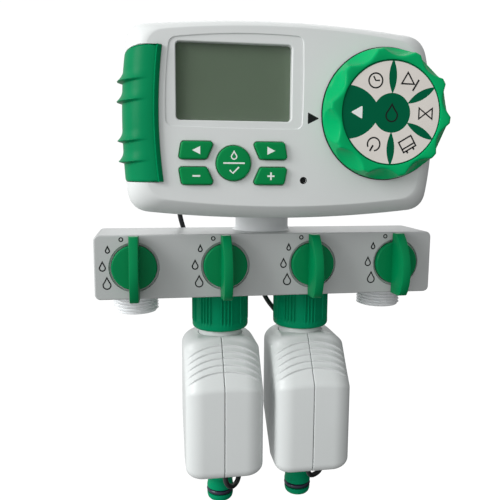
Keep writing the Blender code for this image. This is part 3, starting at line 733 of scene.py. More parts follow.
def key_outline(side, row):
    """Key beside the round one: side is -1 or 1 from left to right, row is -1 or 1 from low to high."""
    corners = [(13.7, 2.0), (27.9, 2.0), (26.3, 10.8), (9.8, 10.8)]
    placed = [(KEYS_X + side * x, KEYS_Z + row * z) for x, z in corners]
    if side * row < 0:
        placed.reverse()
    return rounded(placed, 1.5, 6)


def key_outlines():
    """Outline of each key by its name."""
    places = {"key_left": (-1, 1), "key_right": (1, 1), "key_minus": (-1, -1), "key_plus": (1, -1)}
    outlines = {name: key_outline(*place) for name, place in places.items()}
    outlines["key_ok"] = circle(KEYS_X, KEYS_Z, OK_RADIUS, 72)
    return outlines


def panel_openings():
    """What is cut out of the panel: display recess, window, keys, dial shaft and indicator."""
    recess = bowed([(-57.6, 13.0), (11.9, 12.2), (11.9, 57.9), (-55.4, 55.2)], [0.4, 0.5, 1.7, 0.9], 3.4)
    yield stack(recess, [(AHEAD, 0.5), (PANEL_Y, 0.35), (PANEL_Y + 0.15, 0.1), (PANEL_Y + 0.6, 0)])
    window = rounded(rectangle(WINDOW_X, WINDOW_Z), 2.0, 8)
    bevel = [(PANEL_Y + 0.5, 0.6), (PANEL_Y + 0.9, 0.1), (PANEL_Y + 1.3, 0)]
    yield stack(window, [(AHEAD, 0.6)] + bevel + [(WITHIN, 0)])
    for outline in key_outlines().values():
        yield stack(outline, [(AHEAD, 0.6), (PANEL_Y, 0.6), (PANEL_Y + 0.3, 0.25), (WITHIN, 0.25)])
    yield rod(3.4, AHEAD, WITHIN, "Y", (DIAL_X, 0, DIAL_Z))
    yield rod(INDICATOR_RADIUS, AHEAD, WITHIN, "Y", INDICATOR)


def front_shell():
    """White front of the case, with a step for the grip and a post for each screw."""
    shell = cut(housing_front(0, SPLIT_Y - 0.15), grip_zone(0.12))
    join(shell, housing_front(GRIP_DEPTH, SPLIT_Y - 0.25))
    cut(shell, housing_front(WALL + 1.8, SPLIT_Y + 4))
    for opening in panel_openings():
        cut(shell, opening)
    for x, z in SCREWS:
        post = rod(3.2, PANEL_Y + 3.2, SPLIT_Y - 0.4, "Y", (x, 0, z), 24)
        join(shell, cut(post, rod(SCREW_HOLE, -41, SPLIT_Y + 3, "Y", (x, 0, z), 24)))
    flatten(shell)
    attach(shell, "timer", "white_plastic", "front_shell", name="front_housing")


def panel_marks():
    """Dark rim of the indicator's hole and the arrow that the dial is set against."""
    radii, depths = (INDICATOR_RADIUS, 1.85), (PANEL_Y - 0.02, PANEL_Y + 0.2)
    attach(washer(radii, depths, INK, "Y", INDICATOR, 32, "indicator_rim"), "timer", "black_rubber")
    arrow = bmesh.new()
    outline = rounded([(14.9, 20.7), (14.9, 14.7), (20.9, 17.7)], 0.25, 3)
    add_plate(arrow, outline, PANEL_Y - 0.04, PANEL_Y + 0.1)
    attach(mesh_object("dial_mark", arrow, INK), "timer", "black_rubber")


def rear_skin():
    """Hollow tray with rounded back edges."""
    size, rear = 3.5, REAR_Y
    outer = [(SPLIT_Y + 0.15, 0.0), (SPLIT_Y + 0.5, 0.0), (rear - size - 0.1, 0.0)]
    outer += [(rear - size * (1 - math.sin(t)), size * (1 - math.cos(t))) for t in quarter(8)]
    hollow = [(SPLIT_Y - 5, WALL), (rear - 4.5, WALL), (rear - WALL, WALL + 2.0)]
    skins = [loft([even_loop(inset, y) for y, inset in stations], WHITE) for stations in (outer, hollow)]
    return cut(*skins)


def widened(ends, amount):
    """A range made longer at both ends."""
    return ends[0] - amount, ends[1] + amount


def rear_shell():
    """White back of the case: battery bay, screw posts, a plain field and air slots."""
    rear, skin, wall = REAR_Y, rear_skin(), 1.2
    bay_x, bay_z = (widened(node_range("battery_door", axis), GAP) for axis in "xz")
    join(skin, block(widened(bay_x, wall), (-36.4, rear - 1), widened(bay_z, wall)))
    cut(skin, block(bay_x, (-35.7, rear + 5), bay_z))
    pocket = [(0, rear + 5), (3.6, rear + 5), (3.6, rear), (3.1, rear - 0.5), (3.1, rear - 5), (0, rear - 5)]
    for x, z in SCREWS:
        join(skin, rod(4.2, SPLIT_Y + 0.25, rear - 1, "Y", (x, 0, z), 40))
        cut(skin, turned(pocket, WHITE, "Y", (x, 0, z), 40))
        cut(skin, rod(SCREW_HOLE, SPLIT_Y - 5, rear, "Y", (x, 0, z), 24))
    panel = bowed(rectangle((-32, 78), (-20, 54)), [0, 0, 0, 0], 5, 6, 8)
    cut(skin, stack(panel, [(rear - 0.5, 0), (rear - 0.1, 0.1), (rear, 0.4), (rear + 3, 0.4)]))
    slots, top, pitch, height = 7, 50, 3.2, 1.4
    for z in (top - k * pitch for k in range(slots)):
        slot = rounded(rectangle((20, 62), (z, z + height)), 0.69, 5)
        cut(skin, prism(slot, rear - 1.1, rear + 1))
    attach(skin, "timer", "white_plastic", "rear_shell", name="rear_housing")


def side_at(z):
    """x of the housing's left side at a height."""
    low, high = HOUSING_Z[0] + EDGE_SAG, HOUSING_Z[1] - EDGE_SAG
    t = (z - low) / (high - low)
    return HOUSING_X[0] + LEFT_SAG + CORNER_SHIFTS[3][0] * t - LEFT_SAG * (1 - (2 * t - 1) ** 2)


def rib_rise(z, reach):
    """Height of the ridges over the grip: a hollow ramp from above that ends in a sharp lower flank."""
    ramp, flank, height = 5.6, 1.1, 2.8
    rise = 0.0
    for place in RIB_Z:
        above = z - place
        if 0 <= above < ramp:
            rise = max(rise, (1 - above / ramp) ** 2.2)
        elif -flank < above < 0:
            rise = max(rise, math.cos(-above / flank * math.pi / 2) ** 1.5)
    return height * rise * reach


def grip_line(z, share, columns=44):
    """Plain section of the grip at a height: x, y and reach of the ribs, from the panel to the side."""
    start, flat, front, back = math.radians(4), 1.4, PANEL_Y - 0.5, SPLIT_Y - 0.4
    t = 2 * share - 1
    edge, side = -62.9 + 2.1 * t * t, side_at(z) - 0.4
    bend = edge - flat - side
    line = [(edge, front + 0.5, 0.0), (edge - 0.12, front + 0.12, 0.0), (edge - 0.5, front, 0.0)]
    for k in range(columns + 1):
        angle = start + (math.pi / 2 - start) * k / columns
        left = (1 - math.sin(angle)) / (1 - math.sin(start))
        y = front + (back - front - 3.0) * (1 - math.cos(angle) / math.cos(start))
        reach = max(0.0, min(1.0, (k / columns - 0.06) / 0.66))
        line.append((side + bend * left, y, reach * reach * (3 - 2 * reach)))
    return line + [(side, back, 1.0)]


def side_grip():
    """Green cover of the left side: one smooth bend from the panel's edge round to the side."""
    rows, thick, softened, slope_start = 240, 2.0, 3, 0.8
    loops = []
    for i in range(rows + 1):
        z = GRIP_Z[0] + (GRIP_Z[1] - GRIP_Z[0]) * i / rows
        soft = min(1.0, min(i, rows - i) / softened)
        line = grip_line(z, i / rows)
        outer, inner = [], []
        for k, (x, y, reach) in enumerate(line):
            before, after = line[max(0, k - 1)], line[min(len(line) - 1, k + 1)]
            along = Vector((after[0] - before[0], after[1] - before[1])).normalized()
            outward = Vector((along.y, -along.x))
            if outward.x > 0 or (abs(outward.x) < 1e-6 and outward.y > 0):
                outward = -outward
            rise = rib_rise(z - 1.1 * (1 - reach), reach) - (1 - soft) * 0.35
            slope = max(0.0, (i / rows - slope_start) / (1 - slope_start))
            height = z - max(0.0, GRIP_Z[1] - grip_top(y)) * slope
            outer.append((x + outward.x * rise, y + outward.y * rise, height))
            inner.append((x - outward.x * thick, min(SPLIT_Y - 0.4, y - outward.y * thick), height))
        loops.append(outer + inner[::-1])
    attach(loft(loops, GREEN_GRIP, "grip_cover", 40), "timer", "green_plastic", "side_grip")


def display():
    """Clear pane over the greenish screen."""
    outline = rounded(rectangle(node_range("window_lens", "x"), node_range("window_lens", "z")), 1.5, 6)
    front, back = node_range("window_lens", "y")
    lens = stack(outline, [(front, -0.25), (front + 0.25, 0), (back, 0)], LENS)
    attach(lens, "timer", "clear_lens", "window_lens", name="window_pane")
    recolour("lcd_module", SCREEN)


def recolour(node, material):
    """Gives one of the frame's own nodes a better finish."""
    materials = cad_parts[node].data.materials
    materials.clear()
    materials.append(material)


def keys():
    """Green keys with softened edges and their marks."""
    steps = [(0.9, 0), (0.45, -0.08), (0.18, -0.3), (0.04, -0.65), (0, -1.1)]
    for name, outline in key_outlines().items():
        body = name.replace("key", "button")
        stations = [(KEY_REAR, 0)] + [(KEY_FRONT + behind, growth) for behind, growth in steps]
        attach(stack(outline, stations, GREEN_KEY, f"{name}_cap", 50), body, "green_plastic", name)
        xs, zs = zip(*outline)
        symbol = key_symbol(name, (min(xs) + max(xs)) / 2, (min(zs) + max(zs)) / 2)
        attach(mesh_object(f"{name}_mark", symbol, WHITE_INK), body, "silver_label")


def key_symbol(name, x, z):
    """White mark on a key: an arrow, a minus, a plus, or a drop over a bar over a tick."""
    symbol = bmesh.new()
    front, back = KEY_FRONT - 0.04, KEY_FRONT + 0.2
    if name in ("key_left", "key_right"):
        tip = -1 if name == "key_left" else 1
        foot = x - tip * 2.0
        add_plate(symbol, [(x + tip * 2.1, z), (foot, z + 2.05), (foot, z - 2.05)], front, back)
    elif name == "key_minus":
        add_plate(symbol, bar(x, z, 3.9, 0.85), front, back)
    elif name == "key_plus":
        add_plate(symbol, bar(x, z, 3.7, 0.8), front, back)
        add_plate(symbol, bar(x, z, 0.8, 3.9), front - 0.01, back)
    else:
        add_plate(symbol, bar(x, z + 0.1, 11.0, 0.75), front, back)
        add_stroke(symbol, drop(x, z + 4.0, 2.7, 3.9), 0.6, front, back)
        tick = [(x - 2.2, z - 3.4), (x - 0.6, z - 5.0), (x + 2.5, z - 1.9)]
        add_stroke(symbol, tick, 0.75, front, back, closed=False)
    return symbol


def bar(x, z, width, height):
    """Rectangle about a point."""
    return rectangle((x - width / 2, x + width / 2), (z - height / 2, z + height / 2))


def drop(x, z, width, height, steps=16):
    """Outline of a water drop centred on a point: a circle below and two gently hollow sides to its tip."""
    radius = width / 2
    low = z - height / 2 + radius
    spread = math.radians(28)
    points = circle(x, low, radius, steps, math.pi - spread, math.pi + 2 * spread)
    tip = (x, z + height / 2)
    start, end = Vector(points[-1]), Vector(points[0])
    for edge, way in ((start, 1), (end, -1)):
        knee = Vector((x + (edge.x - x) * 0.45, edge.y + (tip[1] - edge.y) * 0.45))
        curve = [edge * (1 - t) ** 2 + knee * 2 * t * (1 - t) + Vector(tip) * t * t
                 for t in (0.33, 0.66, 1.0)]
        points += [(p.x, p.y) for p in (curve if way > 0 else reversed(curve[:-1]))]
    return points


# ---- dial
def thumb_scoop(angle, share):
    """Depth of the ten thumb scoops at an angle and at a share of the way from the base to the rim."""
    start, half_width, depth = 0.1, 0.84, 3.9
    if share <= start:
        return 0.0
    along = (share - start) / (1 - start)
    place = (math.degrees(angle - SCOOP_PHASE) / (180 / SCOOPS) + 1) % 2 - 1
    reach = half_width * math.sqrt(1 - (1 - min(1.0, along * 1.25)) ** 2)
    if abs(place) >= reach:
        return 0.0
    return depth * along ** 0.65 * (1 - (place / reach) ** 2)


def dial_loops(rim_y, base_y, segments=400, side=24):
    """Rings of the knob, from its base up the scooped side and over the rim to the label's seat."""
    base, rim = DIAL_BASE, DIAL_RIM
    stations = [(base_y, base - 0.15, 0.0), (base_y - 0.15, base, 0.0), (base_y - 0.5, base, 0.0)]
    stations += [(base_y - 0.5 - 8.6 * k / side, base - (base - rim) * (k / side) ** 1.3, k / side)
                 for k in range(1, side + 1)]
    stations += [(rim_y + 1.1 - 1.1 * math.sin(t), rim - 1.5 * (1 - math.cos(t)), 1.0) for t in quarter(8)]
    loops = []
    for y, radius, share in stations:
        loop = []
        for t in (math.tau * i / segments for i in range(segments)):
            r = radius - thumb_scoop(t, share)
            loop.append((DIAL_X + r * math.cos(t), y, DIAL_Z + r * math.sin(t)))
        loops.append(loop)
    for radius, behind in ((26.75, 0.05), (26.45, 0.2), (26.3, 0.5), (26.3, 1.6)):
        loops.append(at_depth(circle(DIAL_X, DIAL_Z, radius, segments), rim_y + behind))
    return loops


def dial():
    """Selector: scooped knob, a black ring behind it as painted shadow in the gap, and the label with its
    silver sectors.
    """
    centre = (DIAL_X, 0, DIAL_Z)
    rim_y, base_y = node_range("dial_knob", "y")
    knob = loft(dial_loops(rim_y, base_y), GREEN, "dial_grip", 60)
    cut(knob, rod(3.3, -53.3, WITHIN, "Y", centre))
    attach(knob, "dial", "green_plastic", "dial_knob")
    # Black ring on the back of the knob: painted shadow in the gap between knob and panel.
    radii, depths = (29.0, DIAL_BASE + 0.45), (base_y + 0.05, base_y + 0.5)
    attach(washer(radii, depths, INK, "Y", centre, 160, "dial_painted_shadow_ring"), "dial", "black_rubber")
    face, back = LABEL_Y, LABEL_Y + 1.0
    profile = [(0, back), (26.1, back), (26.1, face + 0.1), (26.0, face), (0, face)]
    disc = turned(profile, GREEN_DARK, "Y", centre, 160, "label_disc")
    attach(disc, "dial", "silver_label", "dial_label")
    sectors = bmesh.new()
    for k in range(5):
        add_plate(sectors, sector_outline(-120 + 60 * k), LABEL_Y - 0.06, LABEL_Y + 0.2)
    attach(mesh_object("label_sectors", sectors, SILVER), "dial", "silver_label")
    dial_marks()


def sector_outline(middle, inner=9.9, outer=25.6, bow=1.75):
    """Silver sector of the label; its sides give way to lens-shaped dividers."""
    low, high = math.radians(middle - 30), math.radians(middle + 30)
    slack_in, slack_out = math.radians(1.2), math.radians(1.1)
    points = circle(DIAL_X, DIAL_Z, inner, 10, low + slack_in, high - low - 2 * slack_in)
    for edge, way in ((high, -1), (low, 1)):
        start = Vector((math.cos(edge + way * slack_in), math.sin(edge + way * slack_in))) * inner
        end = Vector((math.cos(edge + way * slack_out), math.sin(edge + way * slack_out))) * outer
        side = Vector((-math.sin(edge), math.cos(edge))) * way * bow
        line = [start.lerp(end, k / 12) + side * (1 - (2 * k / 12 - 1) ** 2) for k in range(1, 12)]
        line = [(DIAL_X + p.x, DIAL_Z + p.y) for p in line]
        if way < 0:
            points += line
            points += circle(DIAL_X, DIAL_Z, outer, 24, high - slack_out, -(high - low - 2 * slack_out))
        else:
            points += line[::-1]
    return points


def turned_points(points, angle, radius):
    """Moves a symbol drawn at the origin, its foot towards the hub, out to its place on the label."""
    spin = angle - math.pi / 2
    c, s = math.cos(spin), math.sin(spin)
    return [(DIAL_X + x * c - (z + radius) * s, DIAL_Z + x * s + (z + radius) * c) for x, z in points]


def dial_marks():
    """Clock, start, hourglass, calendar and power sign in ink, a white pointer, and a drop on the hub."""
    front, back = LABEL_Y - 0.1, LABEL_Y + 0.1
    ink = bmesh.new()

    def line(points, angle, width=0.75, closed=False, radius=18.2):
        add_stroke(ink, turned_points(points, math.radians(angle), radius), width, front, back, closed)

    line(circle(0, 0, 3.6, 36), 120, closed=True)
    line([(0, 2.4), (0, 0), (1.9, -1.0)], 120)
    line([(-3.2, -3.2), (-3.2, 3.2), (2.6, 0)], 60, closed=True)
    line([(3.7, -3.2), (3.7, 3.2)], 60, 0.9)
    line([(-2.7, 3.6), (2.7, 3.6), (-2.7, -3.6), (2.7, -3.6)], 0, closed=True)
    line([(-3.7, -3.2), (3.7, -3.2), (3.7, 2.6), (-3.7, 2.6)], -60, closed=True)
    line([(-3.7, 0.9), (3.7, 0.9)], -60)
    for x in (-1.9, 1.9):
        line([(x, 2.2), (x, 4.0)], -60, 0.9)
    line(circle(0, 0, 3.3, 30, math.radians(125), math.radians(290)), -120)
    line([(0, 0.6), (0, 4.0)], -120, 0.9)
    attach(mesh_object("label_symbols", ink, INK), "dial", "black_rubber")
    white = bmesh.new()
    tip, foot = DIAL_X - 21.6, DIAL_X - 15.6
    pointer = rounded([(foot, DIAL_Z - 3.3), (foot, DIAL_Z + 3.3), (tip, DIAL_Z)], 0.4, 4)
    add_plate(white, pointer, LABEL_Y - 0.06, back)
    attach(mesh_object("label_pointer", white, WHITE_INK), "dial", "silver_label")
    hub = bmesh.new()
    add_stroke(hub, drop(DIAL_X, DIAL_Z, 6.0, 8.6, 24), 0.7, LABEL_Y - 0.06, back)
    attach(mesh_object("label_hub_mark", hub, INK), "dial", "black_rubber")


# ---- manifold
def threaded(x, material, name):
    """Outlet with a helical pipe thread, a chamfered mouth and an open bore."""
    crest, root, pitch = 13.2, 12.05, 1.81
    top, bottom = BLOCK_Z[0] + 1.0, node_range("manifold_body", "z")[0]
    segments, rows = 72, 84
    start, end = bottom + 0.5, BLOCK_Z[0] - 0.5
    loops = [ring(x, radius, top, segments) for radius in (6.5, crest)]
    for k in range(rows + 1):
        z = end + (start - end) * k / rows
        loop = []
        for i in range(segments):
            t = math.tau * i / segments
            phase = ((z - end) / pitch + i / segments) % 1.0
            ridge = max(0.0, 1 - abs(phase - 0.5) * 2.6) ** 0.8
            lead = min(1.0, (z - start + 0.9) / 1.0, (end - z + 0.6) / 0.8)
            r = root + (crest - root) * ridge * max(0.0, lead)
            loop.append((x + r * math.cos(t), r * math.sin(t), z))
        loops.append(loop)
    mouth = [(11.7, bottom), (8.9, bottom), (8.6, bottom + 0.3), (8.6, bottom + 6), (6.5, bottom + 6.5)]
    loops += [ring(x, radius, z, segments) for radius, z in mouth]
    return loft(loops, material, name, 40, closed_ends=False)


def ring(x, radius, z, segments):
    """Level circle round the axis of an outlet."""
    return [(a, b, z) for a, b in circle(x, 0, radius, segments)]


def manifold():
    """Block with its gallery, ball chambers, outlets and knob wells, and the parts fixed to it."""
    front, back = BLOCK_Y
    stations = [(front, -0.9), (front + 0.1, -0.5), (front + 0.35, -0.2), (front + 0.9, 0)]
    stations += [(back - 4 * (1 - math.sin(t)), -3 * (1 - math.cos(t))) for t in quarter(8, 0)]
    body = stack(rounded(rectangle(BLOCK_X, BLOCK_Z), 3.2, 8), stations, BLOCK_WHITE_PAINTED_SHADE)
    cut(body, block((-88, 88), (-11, 11), (-53.5, -47.2)), rod(9.0, -50, 0))
    well = [(0, -40), (13.75, -40), (13.75, front), (13.5, front + 0.35), (13.5, front + 2.1),
            (3.8, front + 2.1), (3.8, -6), (0, -6)]
    for x in TAP_X:
        if x in VALVE_X:
            join(body, rod(13.2, -91.8, -78, "Z", (x, 0, 0), 72))
        cut(body, rod(9.6, -9.6, 9.6, "Y", (x, 0, TAP_Z)), rod(6.5, -95, -50, "Z", (x, 0, 0)))
        cut(body, turned(well, BLOCK_WHITE_PAINTED_SHADE, "Y", (x, 0, TAP_Z), 96))
    flatten(body)
    attach(body, "timer", "white_plastic", "manifold_body", name="manifold_block")
    radii, depths = (12.6, 13.45), (front + 1.2, front + 2.0)
    for number, x in enumerate(TAP_X, 1):
        if x not in VALVE_X:
            attach(threaded(x, THREAD_WHITE_PAINTED_LIGHT, f"outlet_{number}"), "timer", "white_plastic")
        seat = washer(radii, depths, BLOCK_WHITE_PAINTED_SHADE, "Y", (x, 0, TAP_Z), 96, f"knob_seat_{number}")
        attach(seat, "timer", "white_plastic")
    inlet_neck()
    flow_marks()


def inlet_neck():
    """Neck from the block up into the inlet nut: a flared foot, a collar and a grooved seat."""
    neck = [(9.0, -44.9), (19.5, -44.9), (18.4, -44.3)] + arc(18.4, -41.6, 2.7, 265, 185, 6)
    neck += [(15.7, -40.5), (15.7, -34.0), (15.3, -33.3), (13.2, -33.2), (13.2, -26.0), (15.0, -26.0),
             (15.0, -24.6), (11.5, -24.6), (11.5, -15.2), (12.9, -15.2), (12.9, -12.3), (12.6, -12.0),
             (9.0, -12.0)]
    attach(turned(neck, THREAD_WHITE_PAINTED_LIGHT, "Z", (0, 0, 0), 96, "inlet_neck"), "timer", "white_plastic")


def flow_marks():
    """Drop outlines that grow with the flow, printed left of each knob."""
    front, back = BLOCK_Y[0] - 0.03, BLOCK_Y[0] + 0.1
    ink = bmesh.new()
    drops = ((-14.0, 10.0, 2.1, 3.6), (-16.9, 0.9, 3.1, 5.0), (-14.7, -8.5, 4.1, 6.3))
    for x in TAP_X:
        add_stroke(ink, circle(x - 6.8, TAP_Z + 15.4, 1.0, 20), 0.62, front, back)
        for dx, dz, width, height in drops:
            add_stroke(ink, drop(x + dx, TAP_Z + dz, width, height), 0.7, front, back)
    attach(mesh_object("flow_marks", ink, INK), "timer", "black_rubber")


def lever_loop(x, y, z, half=2.35, foot=2.9):
    """Section of a lever at a height: widest at the disc, and softened at its crest, which is at depth y."""
    side = [(foot, -27.6), (half + 0.05, y + 0.5), (half - 0.1, y + 0.15), (half - 0.5, y)]
    loop = [(-foot, -27.6)] + side + [(-across, depth) for across, depth in side[:0:-1]]
    return [(x + across, depth, TAP_Z + z) for across, depth in loop]


def knobs():
    """Round lever knobs, each with a handle whose crest rises from its upper to its lower end."""
    profile = [(0, -24.5), (12.3, -24.5)] + arc(11.3, -27.2, 1.0, 0, -90, 6) + [(0, -28.2)]
    crest = [(17.5, -31.4), (17.2, -32.2), (14.5, -35.2), (10, -38.6), (5, -41.3), (0, -42.6), (-4, -43.0),
             (-9, -42.4), (-14, -40.6), (-16.8, -38.6), (-17.4, -37.4), (-17.5, -36.0)]
    for number, x in enumerate(TAP_X, 1):
        disc = turned(profile, GREEN_KNOB, "Y", (x, 0, TAP_Z), 96)
        join(disc, loft([lever_loop(x, y, z) for z, y in crest], GREEN_KNOB, angle=40))
        cut(disc, rod(3.7, -27.9, -20, "Y", (x, 0, TAP_Z), 32))
        attach(disc, f"tap_{number}", "green_plastic", f"tap_knob_{number}", name=f"lever_knob_{number}")


# ---- nuts
def ribbed(top, bottom, height=0.95, groups=8, ribs=(-10.8, -3.6, 3.6, 10.8), phase=7.0, width=2.15):
    """Radius change for groups of upright ribs between two heights; angles are in degrees."""
    def wave(t, radius, z):
        if radius < 15.5 or not bottom <= z <= top:
            return radius
        pitch = 360 / groups
        local = (math.degrees(t) - phase + pitch / 2) % pitch - pitch / 2
        nearest = min(abs(local - place) for place in ribs)
        rise = max(0.0, 1 - (nearest / width) ** 3)
        fade = min(1.0, (z - bottom) / 0.8, (top - z) / 0.8)
        return radius + height * rise * max(0.0, fade)
    return wave


def union_nuts():
    """Ribbed nuts over the two valves and at the inlet."""
    bottom, top = NUT_Z
    for number, x in enumerate(VALVE_X, 1):
        profile = [(13.6, top), (15.9, top), (16.05, top - 0.2)]
        profile += [(16.05, top - 0.4 - k * 0.55) for k in range(33)]
        profile += [(16.8, bottom + 4.2)] + arc(14.5, bottom + 2.3, 2.3, 0, -80, 7)
        profile += [(13.9, bottom), (11.8, bottom), (11.8, -98.9), (13.6, -98.9)]
        wave = ribbed(top - 0.3, bottom + 4.4)
        nut = turned(profile, GREEN_NUT, "Z", (x, 0, 0), 720, f"union_ring_{number}", wave, 50)
        attach(nut, f"union_{number}", "green_plastic", f"union_nut_{number}")
    low, high = node_range("inlet_nut", "z")
    profile = [(11.8, low), (15.6, low)] + arc(15.6, low + 1.5, 1.5, -90, 0, 5)
    profile += [(16.6, low + 2.4 + k * 0.6) for k in range(31)]
    profile += [(17.05, high - 1.4), (16.7, high), (13.6, high), (13.6, -15.5), (11.8, -15.5)]
    wave = ribbed(high - 1.5, low + 2.5)
    nut = turned(profile, GREEN_NUT, "Z", (0, 0, 0), 720, "inlet_ring", wave, 50)
    attach(nut, "inlet_swivel", "green_plastic", "inlet_nut")


# ---- valves
BOX_CORNERS = [(-14, -105.9), (-33, -132), (-33, -186.8), (-11, -186.8), (16, -161), (16, -105.9)]
BOX_RADII = [4.5, 6, 6, 5, 6, 4.5]
BOX_HALF, BOX_FLAT, BOX_ROUND, BOX_INSET, ROOF_SAG = 22.0, 12.0, 10.0, 6.5, 2.9
BOX_SHIFT = {1: -0.9, 2: 1.2}
RIGHT_REACH = 1.045
RIDGES, RIDGE_DROP, RIDGE_HEIGHT, RIDGE_RUN = (0.17, 0.29, 0.41, 0.535, 0.665), 0.145, 0.95, 3.3
CORNER_STEPS, SHOULDER_STEPS = 8, 120


def box_outline(inset, fine=True):
    """Side outline of a valve box, moved in and with its shoulder finely divided."""
    corners = offset(BOX_CORNERS, -inset)
    radii = [max(0.8, radius - inset * 0.7) for radius in BOX_RADII]
    points = rounded(corners, radii, CORNER_STEPS)
    if fine:
        start, end = Vector(points[CORNER_STEPS]), Vector(points[CORNER_STEPS + 1])
        extra = [start.lerp(end, k / SHOULDER_STEPS) for k in range(1, SHOULDER_STEPS)]
        points[CORNER_STEPS + 1:CORNER_STEPS + 1] = [(p.x, p.y) for p in extra]
    return points


def shoulder_lift(across, y, z):
    """Height over the plain shoulder: it carries five arched ridges, each steeper on its lower side."""
    start, end = Vector(BOX_CORNERS[0]), Vector(BOX_CORNERS[1])
    run = end - start
    t = (Vector((y, z)) - start).dot(run) / run.length_squared
    arched = t - RIDGE_DROP * (across / BOX_HALF) ** 2
    rise = 0.0
    for place in RIDGES:
        distance = (arched - place) * run.length
        if -RIDGE_RUN < distance <= 0:
            rise = max(rise, (1 + distance / RIDGE_RUN) ** 1.5)
        elif 0 < distance < 0.8:
            rise = max(rise, math.cos(distance / 0.8 * math.pi / 2))
    return RIDGE_HEIGHT * rise * max(0.0, min(1.0, (21.9 - across) / 3.0))


def roof_sag(across, z):
    """How far the roof drops towards the box's sides; the drop fades out down the shoulder."""
    return ROOF_SAG * (across / BOX_HALF) ** 2.2 * max(0.0, min(1.0, (z + 160) / 38))


def box_half(x, side, number):
    """Hollow half of a valve box: side is -1 for the left half and 1 for the right one."""
    stations = [(0.17, 0.42), (0.3, 0.12), (0.55, 0.0)]
    stations += [(BOX_FLAT * k / 15, 0.0) for k in range(1, 16)]
    stations += [(BOX_FLAT + BOX_ROUND * math.sin(t), BOX_INSET * (1 - math.cos(t))) for t in quarter(12)]
    run = Vector(BOX_CORNERS[1]) - Vector(BOX_CORNERS[0])
    outward = Vector((run.y, -run.x)).normalized()
    reach = RIGHT_REACH if side > 0 else -1.0
    loops = []
    for across, inset in stations:
        loop = []
        for i, (y, z) in enumerate(box_outline(inset)):
            if i <= SHOULDER_STEPS + 2 * CORNER_STEPS:
                lift = shoulder_lift(across, y, z)
                y, z = y + outward.x * lift, z + outward.y * lift
            loop.append((x + across * reach, y, z - roof_sag(across, z)))
        loops.append(loop)
    half = loft(loops, WHITE_VALVE, angle=28)
    hollow = [[(x + side * across, y, z) for y, z in box_outline(inset, False)]
              for across, inset in ((-1.0, 2.6), (14, 2.8), (17, 3.6), (19, 5.2), (20, 7.2))]
    middle = x - BOX_SHIFT[number]
    cut(half, loft(hollow, WHITE_VALVE), rod(13.6, -119, -95, "Z", (middle, 0, 0), 96))
    cut(half, rod(9.0, -190, -158, "Z", (middle, 0, 0)), rod(1.75, -190, -178, "Z", (middle, -26, 0), 24))
    half.data.set_sharp_from_angle(angle=math.radians(28))
    word = "left" if side < 0 else "right"
    attach(half, "timer", "white_plastic", f"valve_shell_{number}_{word}", name=f"valve_box_{number}_{word}")


def valves():
    """Two valves, each a box of two halves, the tube through it and a hose connector."""
    for number, x in enumerate(VALVE_X, 1):
        for side in (-1, 1):
            box_half(x + BOX_SHIFT[number], side, number)
        body = [(7.5, -95.5), (12.9, -95.5), (12.9, -98.6), (11.5, -98.6), (11.5, -103.6), (12.6, -103.6),
                (12.8, -103.9), (13.0, -105.5), (13.3, -107.0), (13.3, -118), (10.5, -118), (10.5, -154),
                (6.4, -156), (6.4, -180), (4.5, -180), (4.5, -154), (7.5, -150)]
        flow = turned(body, WHITE_VALVE, "Z", (x, 0, 0), 96, f"flow_tube_{number}")
        attach(flow, "timer", "white_plastic", f"flow_body_{number}")
        connector(number, x)


def connector(number, x):
    """Click connector for a hose, a little shorter than the CAD's, and its black seal."""
    low, high = node_range(f"hose_connector_{number}", "z")
    low += 1.2
    profile = [(6.8, high), (8.3, high), (8.6, high - 0.3), (8.6, -189.5), (8.2, -189.9), (8.2, -190.7),
               (8.6, -191.1), (8.6, -197.6), (8.8, -198.1), (8.8, -199.4), (8.4, -199.9), (7.9, -201.4)]
    profile += [(7.8, -203.0), (7.9, -204.2), (8.2, -205.6), (8.25, -206.2), (8.1, -206.7), (5.8, -206.7),
                (5.8, -210.3), (8.0, -210.3), (8.15, -210.7), (8.0, -212.2), (7.6, -213.4), (7.0, -214.1),
                (6.4, low), (4.2, low), (4.0, low + 0.3), (4.0, -184), (6.8, -182)]
    piece = turned(profile, GREEN_NUT, "Z", (x, 0, 0), 96, f"click_connector_{number}", angle=40)
    attach(piece, "timer", "green_plastic", f"hose_connector_{number}")
    seal = turned(circle(7.1, -208.5, 1.3, 20), SEAL, "Z", (x, 0, 0), 96, f"seal_ring_{number}", angle=80)
    attach(seal, "timer", "black_rubber", f"connector_oring_{number}")


# ---- back and inside
def battery_door():
    """Door with finger grooves and an arrow."""
    x, (front, back), z = (node_range("battery_door", axis) for axis in "xyz")
    stations = [(front, -0.1), (front + 0.1, 0), (back - 0.3, 0), (back, -0.3)]
    door = stack(rounded(rectangle(x, z), 0.8, 5), stations)
    grooves, pitch, width = 6, 1.8, 0.9
    for start in (x[1] - 4.0 - pitch * k for k in range(grooves)):
        groove = rounded(rectangle((start, start + width), (10, 30)), 0.44, 4)
        cut(door, prism(groove, back - 0.6, back + 1))
    middle = (x[0] + x[1]) / 2
    arrow = [(middle - 8.5, 20), (middle - 4, 24), (middle - 4, 16)]
    cut(door, prism(rounded(arrow, 0.4, 4), back - 0.4, back + 1))
    attach(door, "door", "white_plastic", "battery_door", name="battery_cover")


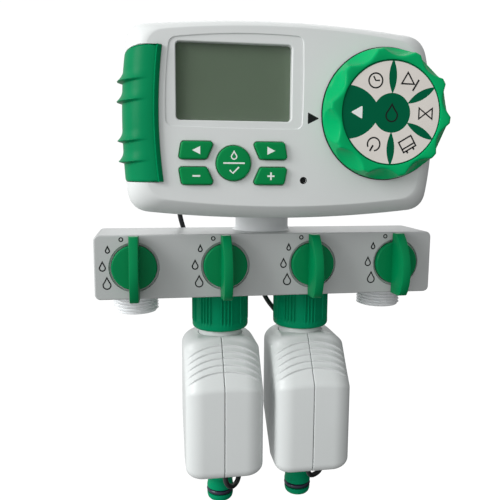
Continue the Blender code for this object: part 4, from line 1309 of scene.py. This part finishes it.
def screws():
    """Case screws with crossed slots."""
    profile = [(0, -22.0), (1.6, -22.0), (2.5, -22.25), (2.8, -22.7), (2.8, -23.7), (1.4, -23.9),
               (1.4, -38.4), (0, -39.0)]
    for number, (x, z) in enumerate(SCREWS, 1):
        screw = turned(profile, ZINC, "Y", (x, 0, z), 40)
        for w, h in ((3.0, 0.65), (0.65, 3.0)):
            cut(screw, prism(bar(x, z, w, h), -23.0, -20, ZINC))
        attach(screw, "timer", "steel", f"housing_screw_{number}", name=f"case_screw_{number}")


def inside():
    """Better finishes on the frame's own nodes that show only through gaps and open doors."""
    finishes = {"main_board": BOARD, "keypad_mat": SILICONE, "rotary_switch": BLACK, "status_led": INK,
                "dial_shaft": STEEL, "rear_bracket": WHITE, "inlet_washer": BLACK}
    for number in (1, 2):
        finishes[f"solenoid_coil_{number}"] = COPPER
        finishes[f"plunger_{number}"] = STEEL
        finishes[f"union_washer_{number}"] = BLACK
    for number in (1, 2, 3, 4):
        finishes[f"ball_{number}"] = STEEL
    for node, material in finishes.items():
        recolour(node, material)


def cells():
    """Two round cells with printed sleeves and button ends."""
    for number in (1, 2):
        middle = node_middle(f"battery_{number}")
        low, high = node_range(f"battery_{number}", "z")
        profile = [(0, low), (5.6, low), (5.8, low + 0.5), (6.6, low + 0.5)]
        profile += arc(6.6, low + 1.0, 0.5, -90, 0, 4) + [(7.1, high - 2.2)]
        profile += arc(6.6, high - 1.9, 0.5, 0, 90, 4)
        profile += [(2.9, high - 1.3), (2.7, high - 1.1), (2.7, high - 0.3), (2.4, high), (0, high)]
        cell = turned(profile, CELL, "Z", (middle.x, middle.y, 0), 64, f"cell_{number}")
        attach(cell, "timer", "battery_sleeve", f"battery_{number}")


def main():
    """Builds everything, and works out the box of the frame and of the finished scene."""
    look()
    studio()
    cables()
    front_shell()
    panel_marks()
    rear_shell()
    side_grip()
    display()
    keys()
    dial()
    manifold()
    knobs()
    union_nuts()
    valves()
    battery_door()
    screws()
    inside()
    cells()
    boxes = [[list(corner) for corner in pair] for pair in (CAD_BOX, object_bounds())]


main()
